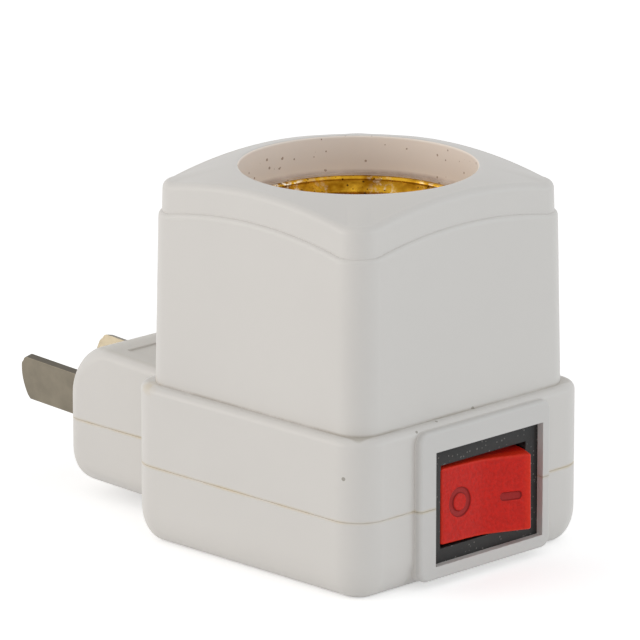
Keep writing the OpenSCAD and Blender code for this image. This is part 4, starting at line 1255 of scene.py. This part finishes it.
def white_world():
    """Soft surround light, weaker overhead, that looks plain white to the eye."""
    world = bpy.data.worlds.new("surround")
    bpy.context.scene.world = world
    world.use_nodes = True
    tree = world.node_tree
    shader = tree.nodes["Background"]
    height = split(tree, tree.nodes.new("ShaderNodeTexCoord").outputs["Generated"])["Z"]
    light = remap(tree, height, 0.0, 1.0, HORIZON_LIGHT, ZENITH_LIGHT)
    shader.inputs["Color"].default_value = (1, 1, 1, 1)
    tree.links.new(remap(tree, seen_by_eye(tree), 0.0, 1.0, light, 1.0), shader.inputs["Strength"])


def place_floor():
    """Pale floor that shows white to the camera and keeps the shadow."""
    corners = [(x * FLOOR_HALF, y * FLOOR_HALF, 0) for x, y in ((-1, -1), (1, -1), (1, 1), (-1, 1))]
    floor = make_object("floor", corners, [(0, 1, 2, 3)])
    material, tree, shader, _ = new_material("pale_floor", 0.9, Specular_IOR_Level=0.0)
    shader.inputs["Base Color"].default_value = (FLOOR_GREY, FLOOR_GREY, FLOOR_GREY, 1)
    shader.inputs["Emission Color"].default_value = (1, 1, 1, 1)
    lift = calc(tree, "MULTIPLY", seen_by_eye(tree), FLOOR_LIFT)
    tree.links.new(lift, shader.inputs["Emission Strength"])
    floor.data.materials.append(material)


# The whole scene

def coat(obj, material):
    obj.data.materials.clear()
    obj.data.materials.append(material)


def dress(obj, material, body, slot, *nodes):
    """Gives a piece its finish, its body and the nodes that it stands for."""
    coat(obj, material)
    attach(obj, body)
    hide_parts(*nodes)


def main():
    place_camera()
    white_world()
    for lamp in LAMPS:
        place_lamp(*lamp)
    place_floor()

    housing = housing_material()
    gold = shell_brass_material()
    brass = metal_material("plain_brass_sheet", linear(222, 186, 112), linear(190, 150, 84), 0.3, 0.05)
    # One nickel in two copies: painted shade for the near pin, painted light for the far pin
    shaded_nickel = pin_material("nickel_sheet_shaded", linear(135, 127, 112), linear(96, 90, 79))
    lit_nickel = pin_material("nickel_sheet_lit", linear(174, 163, 141), linear(112, 104, 89))
    steel = metal_material("zinc_plated_steel", linear(190, 190, 188), linear(150, 150, 150), 0.35, 0.05)
    silver = metal_material("silver_contact", linear(226, 226, 222), linear(200, 200, 198), 0.22, 0.03)
    black = plastic_material("black_moulding", linear(42, 41, 40), linear(104, 101, 97),
                             roughness=0.5, share=0.16, bump=0.5, fine=1400.0, gloss=0.35)
    red = rocker_material()
    brown_wire = plastic_material("brown_insulation", linear(120, 66, 36), linear(100, 56, 32))
    black_wire = plastic_material("black_insulation", linear(40, 40, 40), linear(60, 60, 60))
    blue_wire = plastic_material("blue_insulation", linear(60, 96, 150), linear(50, 84, 136))

    dress(upper_shell(), housing, "housing", "housing_plastic", "upper_shell")
    dress(lower_shell(), housing, "housing", "housing_plastic", "lower_shell")
    dress(screw_shell(), gold, "housing", "shell_brass", "screw_shell")
    dress(rocker(), red, "rocker", "rocker_red", "rocker")
    dress(switch_body(), black, "housing", "switch_black", "switch_body")
    dress(pin(1), lit_nickel, "housing", "pin_nickel", "live_pin")
    dress(pin(-1), shaded_nickel, "housing", "pin_nickel", "neutral_pin")
    dress(from_node("centre_contact", 0.06), brass, "housing", "contact_brass", "centre_contact")
    dress(cover_screws(steel), steel, "housing", "plated_steel", "cover_screws")
    dress(from_node("contact_rivets", 0.1), steel, "housing", "plated_steel", "contact_rivets")

    # The pieces inside keep the CAD's own meshes
    plain = ((brass, ["shell_strip", "centre_strip", "common_terminal", "load_terminal", "contact_bridge"]),
             (silver, ["moving_contact", "fixed_contact"]), (steel, ["plunger", "rocker_spring"]),
             (brown_wire, ["wire_live"]), (black_wire, ["wire_switched"]), (blue_wire, ["wire_neutral"]))
    for material, nodes in plain:
        for node in nodes:
            coat(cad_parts[node], material)

    bpy.context.scene.view_settings.view_transform = "Standard"


main()
